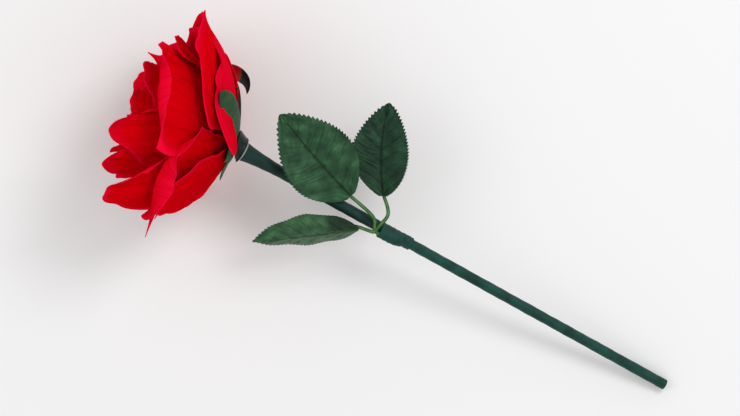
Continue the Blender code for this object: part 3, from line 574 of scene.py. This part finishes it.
def leaf_cloth(name, light, middle, dark, vein_and_shade_colour, shaded_petal_colour=None):
    """Pressed polyester cloth: dull and woven, darkened along its veins and teeth and by painted
    shade.
    """
    material, tree, shader = new_finish(name)
    blade = add(tree, "ShaderNodeUVMap", uv_map="paper")
    tone = add(tree, "ShaderNodeTexNoise", {"Vector": blade, "Scale": per(9), "Detail": 4})
    ramp = tree.nodes.new("ShaderNodeValToRGB")
    for place, colour in ((0.32, dark), (0.52, middle), (0.72, light)):
        stop = ramp.color_ramp.elements.new(place)
        stop.color = linear(colour)
    ramp.color_ramp.elements.remove(ramp.color_ramp.elements[0])
    ramp.color_ramp.elements.remove(ramp.color_ramp.elements[-1])
    tree.links.new(tone, ramp.inputs[0])
    # the darkening fact holds the veins and teeth, and also painted shade: wrinkle troughs, the
    # third leaf's base, the hooked sepal's tip
    veins_and_shade = add(tree, "ShaderNodeAttribute", attribute_name="veins_and_shade").node.outputs["Fac"]
    layers = {0: veins_and_shade, 6: ramp.outputs[0], 7: linear(vein_and_shade_colour)}
    add(tree, "ShaderNodeMix", layers, data_type="RGBA")
    colour = tree.nodes[-1].outputs[2]
    # painted shade: this dark red stands in for a petal corner in shade, painted over part of the
    # cloth
    if shaded_petal_colour:
        shaded_petal_red = add(tree, "ShaderNodeAttribute", attribute_name="shaded_petal_red").node.outputs["Fac"]
        layers = {0: shaded_petal_red, 6: colour, 7: linear(shaded_petal_colour)}
        add(tree, "ShaderNodeMix", layers, data_type="RGBA")
        colour = tree.nodes[-1].outputs[2]
    tree.links.new(colour, shader.inputs["Base Color"])
    weave = {"Vector": blade, "Scale": bands(WEAVE_MM), "Distortion": 0.6}
    warp, weft = (add(tree, "ShaderNodeTexWave", weave, bands_direction=way) for way in "XY")
    height = add(tree, "ShaderNodeMath", {0: warp, 1: weft}, operation="MULTIPLY")
    bump = add(tree, "ShaderNodeBump", {"Height": height, "Strength": 0.35, "Distance": 0.15 * MM})
    tree.links.new(bump, shader.inputs["Normal"])
    shader.inputs["Roughness"].default_value = 0.45
    shader.inputs["Specular IOR Level"].default_value = 0.15
    return material


# All three leaves are one cloth: the second leaf's darker copy is painted shade, the third's
# lighter copy painted light.
CLOTHS = {
    # lightest, middle and darkest tone of the cloth, then the colour of its veins and painted shade
    "leaf_1": leaf_cloth("pressed_leaf_cloth", "#42704b", "#2b5034", "#1b3924", "#0b2014"),
    "leaf_2": leaf_cloth("pressed_leaf_cloth_painted_shade", "#2b5436", "#1b3c27", "#112a1c", "#091b12"),
    "leaf_3": leaf_cloth("pressed_leaf_cloth_painted_light", "#4d7b52", "#38613e", "#23442b", "#14291b"),
}

# %% [markdown]
# ## Three leaf blades
# Each blade runs from its base to its tip and arches a little on the way. The saw edge is a row
# of slanted teeth on the outline. The veins are shallow grooves, deepest at the midrib.

# %% The leaves' shapes
Leaf = namedtuple("Leaf", "base tip face half_width fold droop bow stalk")
LEAVES = {
    "leaf_1": Leaf(
        (-22.6, 7.1, 7.5), (-80.8, 28.4, 12.0), (0.1, 0.1, 1.0), 20.6 * MM, 14 * DEGREE, 3.0 * MM,
        -1.0 * MM, ((-7.0, 3.3, 6.6),),
    ),
    "leaf_2": Leaf(
        (-6.8, 15.7, 5.0), (-30.2, 64.7, -3.0), (-0.15, 0.1, 1.0), 15.6 * MM, 12 * DEGREE, 3.0 * MM,
        -3.2 * MM, ((0.2, 8.5, 6.5),),
    ),
    "leaf_3": Leaf(
        (-9.6, -6.8, 3.0), (-59.6, -43.5, -14.0), (0.0, -0.94, 0.36), 17.0 * MM, -14 * DEGREE,
        3.0 * MM, 0.0, ((-3.0, -4.5, 4.4),),
    ),
}
BLADE_COLUMNS, ROWS_PER_TOOTH = 48, 8
TEETH_PER_SIDE = 29
TOOTH_DEPTH = 1.15 * MM
VEIN_PAIRS = 8
WRINKLE_MM = 2.3
LEAF_THICKNESS = 0.35 * MM


def leaf_frame(leaf):
    base, tip = above_stem(*leaf.base), above_stem(*leaf.tip)
    ahead = (tip - base).normalized()
    side = ahead.cross(Vector(leaf.face)).normalized()
    return base, ahead, side, side.cross(ahead), (tip - base).length


def on_leaf(leaf, share, across, height=0.0):
    """Points of a leaf's blade: share runs from base to tip, across from -1 to 1."""
    base, ahead, side, face, length = leaf_frame(leaf)
    share, across = np.asarray(share, float), np.asarray(across, float)
    inside = np.clip(share, 0, 1)
    outline = np.abs(np.sin(math.pi * inside**0.85)) ** 0.8
    half = leaf.half_width * outline
    rise = np.sqrt(across**2 + 0.002) * half * math.tan(leaf.fold)
    sag = leaf.droop * (share - 0.35) ** 2
    shift = across * half + leaf.bow * np.sin(math.pi * share)
    return (
        np.array(base)
        + (length * share)[..., None] * np.array(ahead)
        + shift[..., None] * np.array(side)
        + (rise - sag + height)[..., None] * np.array(face)
    )


def veins(share, across, slope=0.55):
    """How strongly the veins run through a place of the blade, from 0 to 1."""
    midrib = np.exp(-((across / (0.045 * (1.25 - share))) ** 2))
    line = (share - slope * np.abs(across) * 0.35) * VEIN_PAIRS
    gap = np.abs(line - np.round(line))
    branch = np.exp(-((gap / 0.09) ** 2)) * np.clip(1.15 - np.abs(across), 0, 1) ** 0.5
    return midrib, branch * (share > 0.04) * (share < 0.93)


# %% Make the leaves
for name, leaf in LEAVES.items():
    shape, flat = flat_grid(BLADE_COLUMNS, TEETH_PER_SIDE * ROWS_PER_TOOTH)
    across = even_to_edge(flat[:, 0], 0.2)
    share = 0.015 + 0.983 * (flat[:, 1] + 1) / 2
    _, ahead, side, _, length = leaf_frame(leaf)
    midrib, branch = veins(share, across)
    saw = (flat[:, 1] + 1) / 2 * TEETH_PER_SIDE % 1
    tooth = np.where(saw < 0.75, saw / 0.75, (1 - saw) / 0.25) * np.abs(across) ** 10
    tooth *= np.clip((1 - share) * 14, 0, 1)
    run = (share * length - 0.45 * np.abs(across) * leaf.half_width) / (WRINKLE_MM * MM)
    wander = 0.9 * np.sin(5 * across + 9 * share) + 0.6 * np.sin(11 * share - 4 * across)
    wrinkle = np.sin(2 * math.pi * run + 2 * wander)
    wrinkle = wrinkle * (0.35 + 0.65 * np.sin(6 * share + 2 * across) ** 2)
    wrinkle *= np.clip(np.abs(across) * 6, 0, 1) * np.clip((1 - np.abs(across)) * 4, 0, 1)
    puff = 0.35 * MM * np.abs(np.sin(VEIN_PAIRS * math.pi * (share - 0.19 * np.abs(across))))
    height = puff * (1 - np.abs(across) ** 4) - 0.7 * MM * midrib - 0.3 * MM * branch
    height += 0.2 * MM * wrinkle
    height += 0.5 * MM * np.abs(across) ** 3 * np.sin(19 * share + 2 * np.sign(across))
    points = on_leaf(leaf, share, across, height)
    points += (tooth * np.sign(across))[..., None] * np.array(side) * TOOTH_DEPTH
    points += tooth[..., None] * np.array(ahead) * TOOTH_DEPTH * 0.6
    for vertex, point in zip(shape.verts, points):
        vertex.co = point
    # veins and teeth are darker, and the troughs of the wrinkles are darkened as painted shade
    shade = 0.9 * midrib + 0.3 * branch + 0.22 * np.clip(-wrinkle, 0, 1) + 0.4 * tooth
    # painted shadow: the third blade's base, on the half beside the stem, is darkened where it lies
    # in the stem's shade
    if name == "leaf_3":
        shade += 0.75 * np.clip((0.3 - share) * 20, 0, 1) * np.clip(across * 8, 0, 1)
    facts = {"veins_and_shade": np.clip(shade, 0, 1)}
    flat_mm = np.stack((across * leaf.half_width, share * length), axis=-1) / MM
    piece = sheet_object(name + "_cloth", shape, CLOTHS[name], facts, flat_mm, LEAF_THICKNESS)
    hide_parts(name)
    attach(piece, "root")
    width = 2 * leaf.half_width
print("leaves made:", len(LEAVES), "each with", 2 * TEETH_PER_SIDE, "teeth")

# %% [markdown]
# ## Sepals
# The five sepals are one star of the same green cloth, glued under the petals. One of them is
# long and curls back into the air. Its tip is painted very dark as shade, and before it a dark
# red is painted on the cloth in place of a petal corner in shade.

# %% The sepals' shapes
Sepal = namedtuple("Sepal", "azimuth length hook end taper wide", defaults=(2.4, 1.0))
SEPALS = (
    Sepal(51, 42 * MM, 20, 0, 6.0, 1.5),
    Sepal(118, 18 * MM, 5, 0, wide=1.25),
    Sepal(186, 19 * MM, 8, 0, wide=1.15),
    Sepal(268, 26 * MM, 20, 0),
    Sepal(344, 64 * MM, 178, 14 * MM),
)
SEPAL_COLUMNS, SEPAL_ROWS, RING_ROWS = 14, 90, 5
SEPAL_RING = 3.0 * MM
SEPAL_HALF_WIDTH = 6.0 * MM
SEPAL_STAND_OFF = 1.0 * MM
OUTER_BELL_LENGTH = 76.0 * MM
CLAW_BEND = (5 * DEGREE, -108 * DEGREE)
CLAW_PART, CLAW_LENGTH = 16.0 * MM, 18.0 * MM
CLAW_RUN_UP = 12 * MM
CLAW_WIDTHS = ((-12.0, 3.2), (-4.0, 5.0), (0.0, 5.4), (5.0, 3.9), (9.0, 2.8), (16.0, 0.15))
CLAW_SINK = -20
SHADED_TIP_FROM_MM, SHADED_PETAL_FROM_MM = 53.5, 32
WELD_DISTANCE = 0.00005


def outer_lift(low, high, reach):
    """How far outside its bell the outer whorl stands between two azimuths, in degrees."""
    lap = LAP_AT_BASE + (LAP_AT_RIM - LAP_AT_BASE) * reach
    lifts = [0.0]
    for petal in PETALS.values():
        for turn in (-360, 0, 360):
            past = high + turn - petal.azimuth
            if petal.bell == "outer" and low + turn - petal.azimuth < petal.spread and past > 0:
                lifts.append(min(past, petal.spread) * DEGREE / WHORL_STEP)
    return lap * max(lifts) + PETAL_THICKNESS / 2 + SEPAL_STAND_OFF


def flat_sepal_point(sepal, seat, across, run):
    """A point of a sepal that lies on the petals, with a slight bend at its end."""
    free = max(0.0, run - SEPAL_RING) / (sepal.length - SEPAL_RING)
    reach = run / OUTER_BELL_LENGTH
    middle = seat + (sepal.azimuth - seat) * min(1, free * 3)
    if sepal.hook > 90:
        middle += CLAW_SINK * min(1, free * 1.6)
    half = math.pi / 5
    if free > 0:
        radius = bell_section("outer", np.array(reach))[0][1]
        blade = SEPAL_HALF_WIDTH * sepal.wide * (1 - free**sepal.taper)
        half = min(half, blade / (radius + MM) + 0.015)
    azimuth = middle * DEGREE + half * across
    point, normal = closer_section("outer", np.array(reach), azimuth)
    everywhere = outer_lift(0, 360, reach)
    nearby = outer_lift(sepal.azimuth - 10, sepal.azimuth + 10, reach)
    lift = everywhere + (nearby - everywhere) * min(1, free * 4)
    lift += 1.5 * MM * free**4 * (sepal.hook < 90)
    point = point + normal * lift
    return in_flower(point[0], point[1], azimuth)


def sepal_point(sepal, seat, across, run):
    """The same, or for the hooked sepal a claw that turns aside into the picture's plane."""
    claw_start = sepal.length - CLAW_PART
    if sepal.hook < 90 or run < claw_start - CLAW_RUN_UP:
        return flat_sepal_point(sepal, seat, across, run)
    right, up = np.array(picture_right), np.array(picture_up)
    past = run - claw_start
    centre = flat_sepal_point(sepal, seat, 0.0, min(run, claw_start))
    first, last = CLAW_BEND
    share = max(0.0, past) / (sepal.length - claw_start)
    angle = first + (last - first) * share
    radius = CLAW_LENGTH / (last - first)
    centre = centre + right * radius * (math.sin(angle) - math.sin(first)) * (past > 0)
    centre = centre - up * radius * (math.cos(angle) - math.cos(first)) * (past > 0)
    width = np.interp(past / MM, *zip(*CLAW_WIDTHS)) * MM
    flat = centre + (up * math.cos(angle) - right * math.sin(angle)) * width * across
    flat = flat + np.array(UP) * 1.2 * MM * (across**2 - 0.5) * (width / (5 * MM))
    blend = min(1, max(0, 1 + past / CLAW_RUN_UP))
    blend = blend * blend * (3 - 2 * blend)
    return flat_sepal_point(sepal, seat, across, min(run, claw_start)) * (1 - blend) + flat * blend


# %% [markdown]
# The five sepals share one star with a hole for the core. We join their grids, weld the corners
# that meet at the middle, and give the star the thickness of cloth.

# %% Make the sepals
# the fourth colour darkens the hooked tip as painted shade; the fifth paints a shaded petal corner
# in dark red on the hook
sepal_cloth = leaf_cloth("sepal_cloth", "#2c5a2a", "#1d4420", "#12321a", "#0e1412", "#9a0714")
star = bmesh.new()
shaded_tip, shaded_petal_red, flat_places = [], [], []
for index, sepal in enumerate(SEPALS):
    part, flat = flat_grid(SEPAL_COLUMNS, SEPAL_ROWS)
    seat = SEPALS[0].azimuth + 72 * index
    for vertex, (across, along) in zip(part.verts, flat):
        row = (along + 1) / 2 * SEPAL_ROWS
        blade = (sepal.length - SEPAL_RING) * max(0, row - RING_ROWS) / (SEPAL_ROWS - RING_ROWS)
        run = SEPAL_RING * min(1, row / RING_ROWS) + blade
        vertex.co = sepal_point(sepal, seat, across, run)
        flat_places.append((across * 5 + 40 * index, run / MM))
        # painted shade: the hooked sepal's tip is darkened towards its end
        past = run / MM - SHADED_TIP_FROM_MM + 1.5 * across
        shaded_tip.append(min(1, max(0, past)) if sepal.hook > 90 else 0.0)
        # a dark red petal corner in shade, painted on the hook before its dark tip
        shaded_petal_share = min(1, max(0, run / MM - SHADED_PETAL_FROM_MM) / 4)
        shaded_petal_red.append(shaded_petal_share * (past < 0) * (sepal.hook > 90))
    mesh = bpy.data.meshes.new("sepal")
    part.to_mesh(mesh)
    part.free()
    star.from_mesh(mesh)
    bpy.data.meshes.remove(mesh)
star.verts.index_update()
facts = {"veins_and_shade": np.array(shaded_tip), "shaded_petal_red": np.array(shaded_petal_red)}
flat_mm = np.array(flat_places)
piece = sheet_object("calyx_cloth", star, sepal_cloth, facts, flat_mm, LEAF_THICKNESS)
weld = piece.modifiers.new("join_ring", "WELD")
weld.merge_threshold = WELD_DISTANCE
piece.modifiers.move(1, 0)
tips = [Matrix.Rotation(one.azimuth * DEGREE, 2) @ Vector((one.length, 0)) for one in SEPALS]
width, length = np.ptp(np.array(tips), axis=0)  # from tip to tip of the flat star
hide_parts("calyx")
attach(piece, "root")
print("sepals made:", len(SEPALS))

# %% [markdown]
# ## Stem, collar and stalks
# The stem is a plastic rod in a stretched green tape, which laps over itself in a long spiral.
# A tapered sleeve carries it up into a dark moulded collar with a raised lip. The leaf stalks
# are moulded in one piece, and more tape binds them to the stem. All of these are rings of
# corners bridged one to the next, because their axis bends and their width changes.


# %% A tube helper
def ring(shape, centre, direction, radius, segments=40, stretch=1.0, towards=None):
    made = bmesh.ops.create_circle(shape, cap_ends=False, segments=segments, radius=radius)
    place = Matrix.Translation(centre) @ direction.to_track_quat("Z", "Y").to_matrix().to_4x4()
    for vertex in made["verts"]:
        vertex.co = place @ vertex.co
        if towards is not None:
            vertex.co += towards * (vertex.co - centre).dot(towards) * (stretch - 1)
    edges = dict.fromkeys(edge for vertex in made["verts"] for edge in vertex.link_edges)
    return list(edges), made["verts"]  # in the same order each run


def tube_piece(name, rings, material, node, wall=0.0, caps=False):
    """A tube through rings. Its flat map runs round it and along it, in millimetres."""
    shape = bmesh.new()
    layer = shape.verts.layers.float_vector.new("flat")
    loops, run, before = [], 0.0, None
    for one in rings:
        edges, vertices = ring(shape, **one)
        run += (one["centre"] - before).length if before is not None else 0.0
        before = one["centre"]
        for number, vertex in enumerate(vertices):
            vertex[layer] = (number / len(vertices), run, 0)
        loops.append(edges)
    for near, far in zip(loops, loops[1:]):
        bmesh.ops.bridge_loops(shape, edges=near + far)
    if caps:
        for end in (loops[0], loops[-1]):
            bmesh.ops.edgeloop_fill(shape, edges=end)
    bmesh.ops.recalc_face_normals(shape, faces=shape.faces)
    uv = shape.loops.layers.uv.new("paper")
    for face in shape.faces:
        places = [loop.vert[layer].copy() for loop in face.loops]
        wrapped = max(p.x for p in places) - min(p.x for p in places) > 0.5
        for loop, place in zip(face.loops, places):
            turn = place.x + (1 if wrapped and place.x < 0.5 else 0)
            loop[uv].uv = (turn, place.y)
    item = shape_object(name, shape, material, wall, -1)
    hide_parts(node)
    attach(item, "root")


# %% [markdown]
# ## Tape and moulded plastic
# Stretched tape has faint stripes along it and a dull shine. Collar, stalks and core are moulded
# polyethylene: smooth and a little waxy, with soft changes of colour every few millimetres.

# %% Finishes for tape and plastic
LAP_PITCH = 11 * MM
RIBS_ROUND_STALK = 3
NO_SEAM = -1.0


def tape_finish(name, light, dark, seam=NO_SEAM):
    """Stretched waxed crepe tape: dull green, with a long spiral lap and fine stretch lines.

    A seam is a pale line round the tape, so far from its start.
    """
    material, tree, shader = new_finish(name)
    round_it = add(tree, "ShaderNodeUVMap", uv_map="paper")
    split = tree.nodes.new("ShaderNodeSeparateXYZ")
    tree.links.new(round_it, split.inputs[0])
    turns = {0: split.outputs[1], 1: 1 / LAP_PITCH}
    along = add(tree, "ShaderNodeMath", turns, operation="MULTIPLY")
    spiral = add(tree, "ShaderNodeMath", {0: along, 1: split.outputs[0]}, operation="ADD")
    lap = add(tree, "ShaderNodeMath", {0: spiral}, operation="FRACT")
    place = tree.nodes.new("ShaderNodeTexCoord").outputs["Object"]
    clouds = add(tree, "ShaderNodeTexNoise", {"Vector": place, "Scale": per(7), "Detail": 3})
    ramp = tree.nodes.new("ShaderNodeValToRGB")
    for stop, at, colour in zip(ramp.color_ramp.elements, (0.3, 0.7), (dark, light)):
        stop.position, stop.color = at, linear(colour)
    tree.links.new(clouds, ramp.inputs[0])
    span = {"Value": split.outputs[1], "From Min": seam + 0.3 * MM, "From Max": seam}
    edge = add(tree, "ShaderNodeMapRange", span)
    layers = {0: edge, 6: ramp.outputs[0], 7: linear("#a9b5b0")}
    add(tree, "ShaderNodeMix", layers, data_type="RGBA")
    tree.links.new(tree.nodes[-1].outputs[2], shader.inputs["Base Color"])
    fine = add(tree, "ShaderNodeMapping", {"Vector": place, "Scale": (0.15, 1, 1)})
    lines = add(tree, "ShaderNodeTexNoise", {"Vector": fine, "Scale": per(0.8), "Detail": 2})
    sum_up = add(tree, "ShaderNodeMath", {0: lap, 1: lines}, operation="ADD")
    bump = add(tree, "ShaderNodeBump", {"Height": sum_up, "Strength": 0.5, "Distance": 0.12 * MM})
    tree.links.new(bump, shader.inputs["Normal"])
    shader.inputs["Roughness"].default_value = 0.55
    shader.inputs["Specular IOR Level"].default_value = 0.2
    return material


def plastic_finish(name, light, dark, roughness, patch_mm, groove_shade=None):
    """Moulded polyethylene: even, slightly waxy, with soft changes of tone.

    With a second colour, lines of painted shade run along the piece, as between moulded ribs.
    """
    material, tree, shader = new_finish(name)
    place = tree.nodes.new("ShaderNodeTexCoord").outputs["Object"]
    clouds = add(tree, "ShaderNodeTexNoise", {"Vector": place, "Scale": per(patch_mm), "Detail": 3})
    ramp = tree.nodes.new("ShaderNodeValToRGB")
    for stop, at, colour in zip(ramp.color_ramp.elements, (0.35, 0.65), (dark, light)):
        stop.position, stop.color = at, linear(colour)
    tree.links.new(clouds, ramp.inputs[0])
    colour = ramp.outputs[0]
    # painted shade: darker lines along the piece, three times round it, as in the grooves between
    # ribs
    if groove_shade:
        round_it = add(tree, "ShaderNodeUVMap", uv_map="paper")
        wave = {"Vector": round_it, "Scale": RIBS_ROUND_STALK * 2 * math.pi / 20}
        ribs = add(tree, "ShaderNodeTexWave", wave, bands_direction="X")
        add(tree, "ShaderNodeMix", {0: ribs, 6: colour, 7: linear(groove_shade)}, data_type="RGBA")
        colour = tree.nodes[-1].outputs[2]
    tree.links.new(colour, shader.inputs["Base Color"])
    grit = add(tree, "ShaderNodeTexNoise", {"Vector": place, "Scale": per(0.6), "Detail": 2})
    bump = add(tree, "ShaderNodeBump", {"Height": grit, "Strength": 0.2, "Distance": 0.05 * MM})
    tree.links.new(bump, shader.inputs["Normal"])
    shader.inputs["Roughness"].default_value = roughness
    shader.inputs["Specular IOR Level"].default_value = 0.25
    return material


stem_tape_finish = tape_finish("stretched_stem_tape", "#184a40", "#0d312a")
neck_finish = tape_finish("neck_tape", "#183934", "#0e2823", seam=1.5 * MM)
collar_finish = plastic_finish("moulded_dark_polyethylene", "#0f251e", "#081410", 0.3, 6)
stalk_finish = plastic_finish(
    "moulded_green_polyethylene", "#5a8850", "#3c6a3a", 0.42, 4, groove_shade="#1e481c"
)
hip_finish = plastic_finish("moulded_hip_polyethylene", "#4d7645", "#27522a", 0.42, 4)
rod_finish = plastic_finish("cut_rod_polyethylene", "#7d9488", "#4a6a5c", 0.5, 2)
print("finishes of tape and plastic made")

# %% [markdown]
# The sleeve and the tape get small changes of width, because tape never lies quite even. The
# numbers come from sine waves, so the result is the same each time.

# %% Make the sleeve, the tape and the collar
NECK_INSERT = 0.7 * MM
NECK_MOUTH_RADIUS, NECK_END_RADIUS, NECK_TAPER_LENGTH = 5.5 * MM, 3.3 * MM, 30.0 * MM
NECK_WALL, TAPE_WALL, COLLAR_WALL = 0.6 * MM, 0.5 * MM, 0.6 * MM


def neck_radius(distance):
    share = min(1, max(0, (distance - MM) / (NECK_TAPER_LENGTH - MM)))
    ripple = 0.05 * MM * math.sin(distance * 900) + 0.04 * MM * math.sin(distance * 410 + 1)
    return NECK_END_RADIUS + (NECK_MOUTH_RADIUS - NECK_END_RADIUS) * (1 - share) ** 2 + ripple


places = np.linspace(-NECK_INSERT, NECK_LENGTH, 110)
rings = [dict(centre=along_stem(d), direction=stem_way, radius=neck_radius(d)) for d in places]
tube_piece("neck_sleeve_taped", rings, neck_finish, "neck_sleeve", NECK_WALL)

rings = []
for distance in np.linspace(NECK_LENGTH + CLEARANCE, STEM_LENGTH, 220):
    ripple = 0.05 * MM * math.sin(distance * 700) + 0.05 * MM * math.sin(distance * 260 + 2)
    radius = TAPE_RADIUS + ripple
    rings.append(dict(centre=along_stem(distance), direction=stem_way, radius=radius))
tube_piece("stem_tape_wound", rings, stem_tape_finish, "stem_tape", TAPE_WALL)

COLLAR_TOP = -4.1 * MM
COLLAR_RIM_RADIUS, COLLAR_FLOWER_RADIUS = 6.95 * MM, 8.0 * MM
LIP_LENGTH, LIP_HEIGHT = 0.8 * MM, 0.5 * MM
flower_end = flower_base + flower_axis * COLLAR_TOP
cup_length = (flower_end - along_stem(0)).length
lip = LIP_LENGTH / cup_length
rings = []
for share in np.linspace(0, 1, 40):
    blend = min(1, max(0, (share - lip) / (0.6 * lip)))
    bead = math.sin(math.pi * min(0.9, 0.25 + share / lip / 2)) ** 0.5
    raised = LIP_HEIGHT * (1 - blend) * bead
    radius = COLLAR_RIM_RADIUS + (COLLAR_FLOWER_RADIUS - COLLAR_RIM_RADIUS) * share + raised
    centre = along_stem(0).lerp(flower_end, share)
    direction = (-stem_way).lerp(flower_axis, share).normalized()
    rings.append(dict(centre=centre, direction=direction, radius=radius))
tube_piece(
    "collar_cup_moulded", rings, collar_finish, "collar_cup", COLLAR_WALL
)
print("sleeve, tape and collar made")

# %% [markdown]
# ## Binding
# One more length of tape hides the place where the stalks meet the stem. Its rings are wider on
# the stalks' side, which makes the bulge, and they narrow to the stem at the lower end.

# %% Make the binding
STALK_RADIUS, STUB_RADIUS = 1.1 * MM, 0.9 * MM
STUB_DISTANCE = NECK_END_RADIUS + 1.5 * CLEARANCE + STALK_RADIUS
BINDING_LENGTH, BINDING_START, BINDING_WALL = 20 * MM, 2 * MM, 0.4 * MM
sideways = Vector((0, -1, 0))
above = stem_way.cross(sideways).normalized()
above = above if above.z > 0 else -above
stub_way = (sideways + above).normalized()
inner = TAPE_RADIUS + CLEARANCE
bulges = ((0.0, 1.0), (0.35, 1.0), (0.6, 0.75), (0.75, 0.25), (0.8, 0.05), (1.0, 0.0))
rings = []
for share in np.linspace(0, 1, 60):
    bulge = np.interp(share, *zip(*bulges))
    shift = (STUB_DISTANCE + STUB_RADIUS + 2 * CLEARANCE - inner) * bulge / 2
    ripple = 0.08 * MM * math.sin(share * 38)
    rings.append(
        dict(
            centre=along_stem(NECK_LENGTH + BINDING_START + BINDING_LENGTH * share)
            + stub_way * shift,
            direction=stem_way,
            radius=inner + 0.12 * MM + BINDING_WALL + ripple,
            stretch=(shift + inner + BINDING_WALL) / (inner + BINDING_WALL),
            towards=stub_way,
        )
    )
tube_piece(
    "stem_binding_wound", rings, stem_tape_finish, "stem_binding", BINDING_WALL
)
print("binding made")


# %% [markdown]
# ## Stalks
# The three stalks start together under the binding and part just above it. We draw a smooth
# curve through a few points for each one, and lead a round tube along it to below its leaf.

# %% Make the stalks
def smooth_line(points, steps):
    """Points on a Catmull-Rom curve through the given ones."""
    padded = [points[0] * 2 - points[1], *points, points[-1] * 2 - points[-2]]
    line = []
    for a, b, c, d in zip(padded, padded[1:], padded[2:], padded[3:]):
        for step in range(steps):
            t = step / steps
            curve = 2 * b + (c - a) * t + (2 * a - 5 * b + 4 * c - d) * t**2
            line.append((curve + (3 * b - a - 3 * c + d) * t**3) * 0.5)
    line.append(points[-1].copy())
    return line


fork = along_stem(NECK_LENGTH + 0.2 * MM) + stub_way * STUB_DISTANCE
stub_end = along_stem(NECK_LENGTH + 12 * MM) + stub_way * STUB_DISTANCE
for number, (name, leaf) in enumerate(LEAVES.items()):
    _, ahead, _, face, _ = leaf_frame(leaf)
    clear = STALK_RADIUS + 3 * CLEARANCE + LEAF_THICKNESS / 2
    under = [Vector(on_leaf(leaf, s, 0.0)) - face * clear for s in (0.04, 0.12, 0.2)]
    line = smooth_line([stub_end, fork, *(above_stem(*p) for p in leaf.stalk), *under], 10)
    rings = []
    for step, point in enumerate(line):
        way = (line[min(step + 1, len(line) - 1)] - line[max(step - 1, 0)]).normalized()
        share = step / (len(line) - 1)
        radius = (1.0 if share < 0.2 else 1.15 - 0.35 * share) * STALK_RADIUS * 0.95
        rings.append(dict(centre=point, direction=way, radius=radius, segments=20))
    rings[0]["radius"] = STUB_RADIUS
    for one in rings[1:10]:
        one["radius"] = STUB_RADIUS * 1.02
    tube_piece(
        f"stalk_{number + 1}", rings, stalk_finish, "leaf_spray", caps=True
    )
print("stalks made")

# %% [markdown]
# ## Rod and core
# The cut end of the rod and the core inside the flower are plain shapes. Their solids stay, and
# only get a plastic finish.

# %% Finish what stays as it is
for node, finish in (("stem_rod", rod_finish), ("hip", hip_finish)):
    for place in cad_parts[node].material_slots:
        place.material = finish
print("rod and core finished")
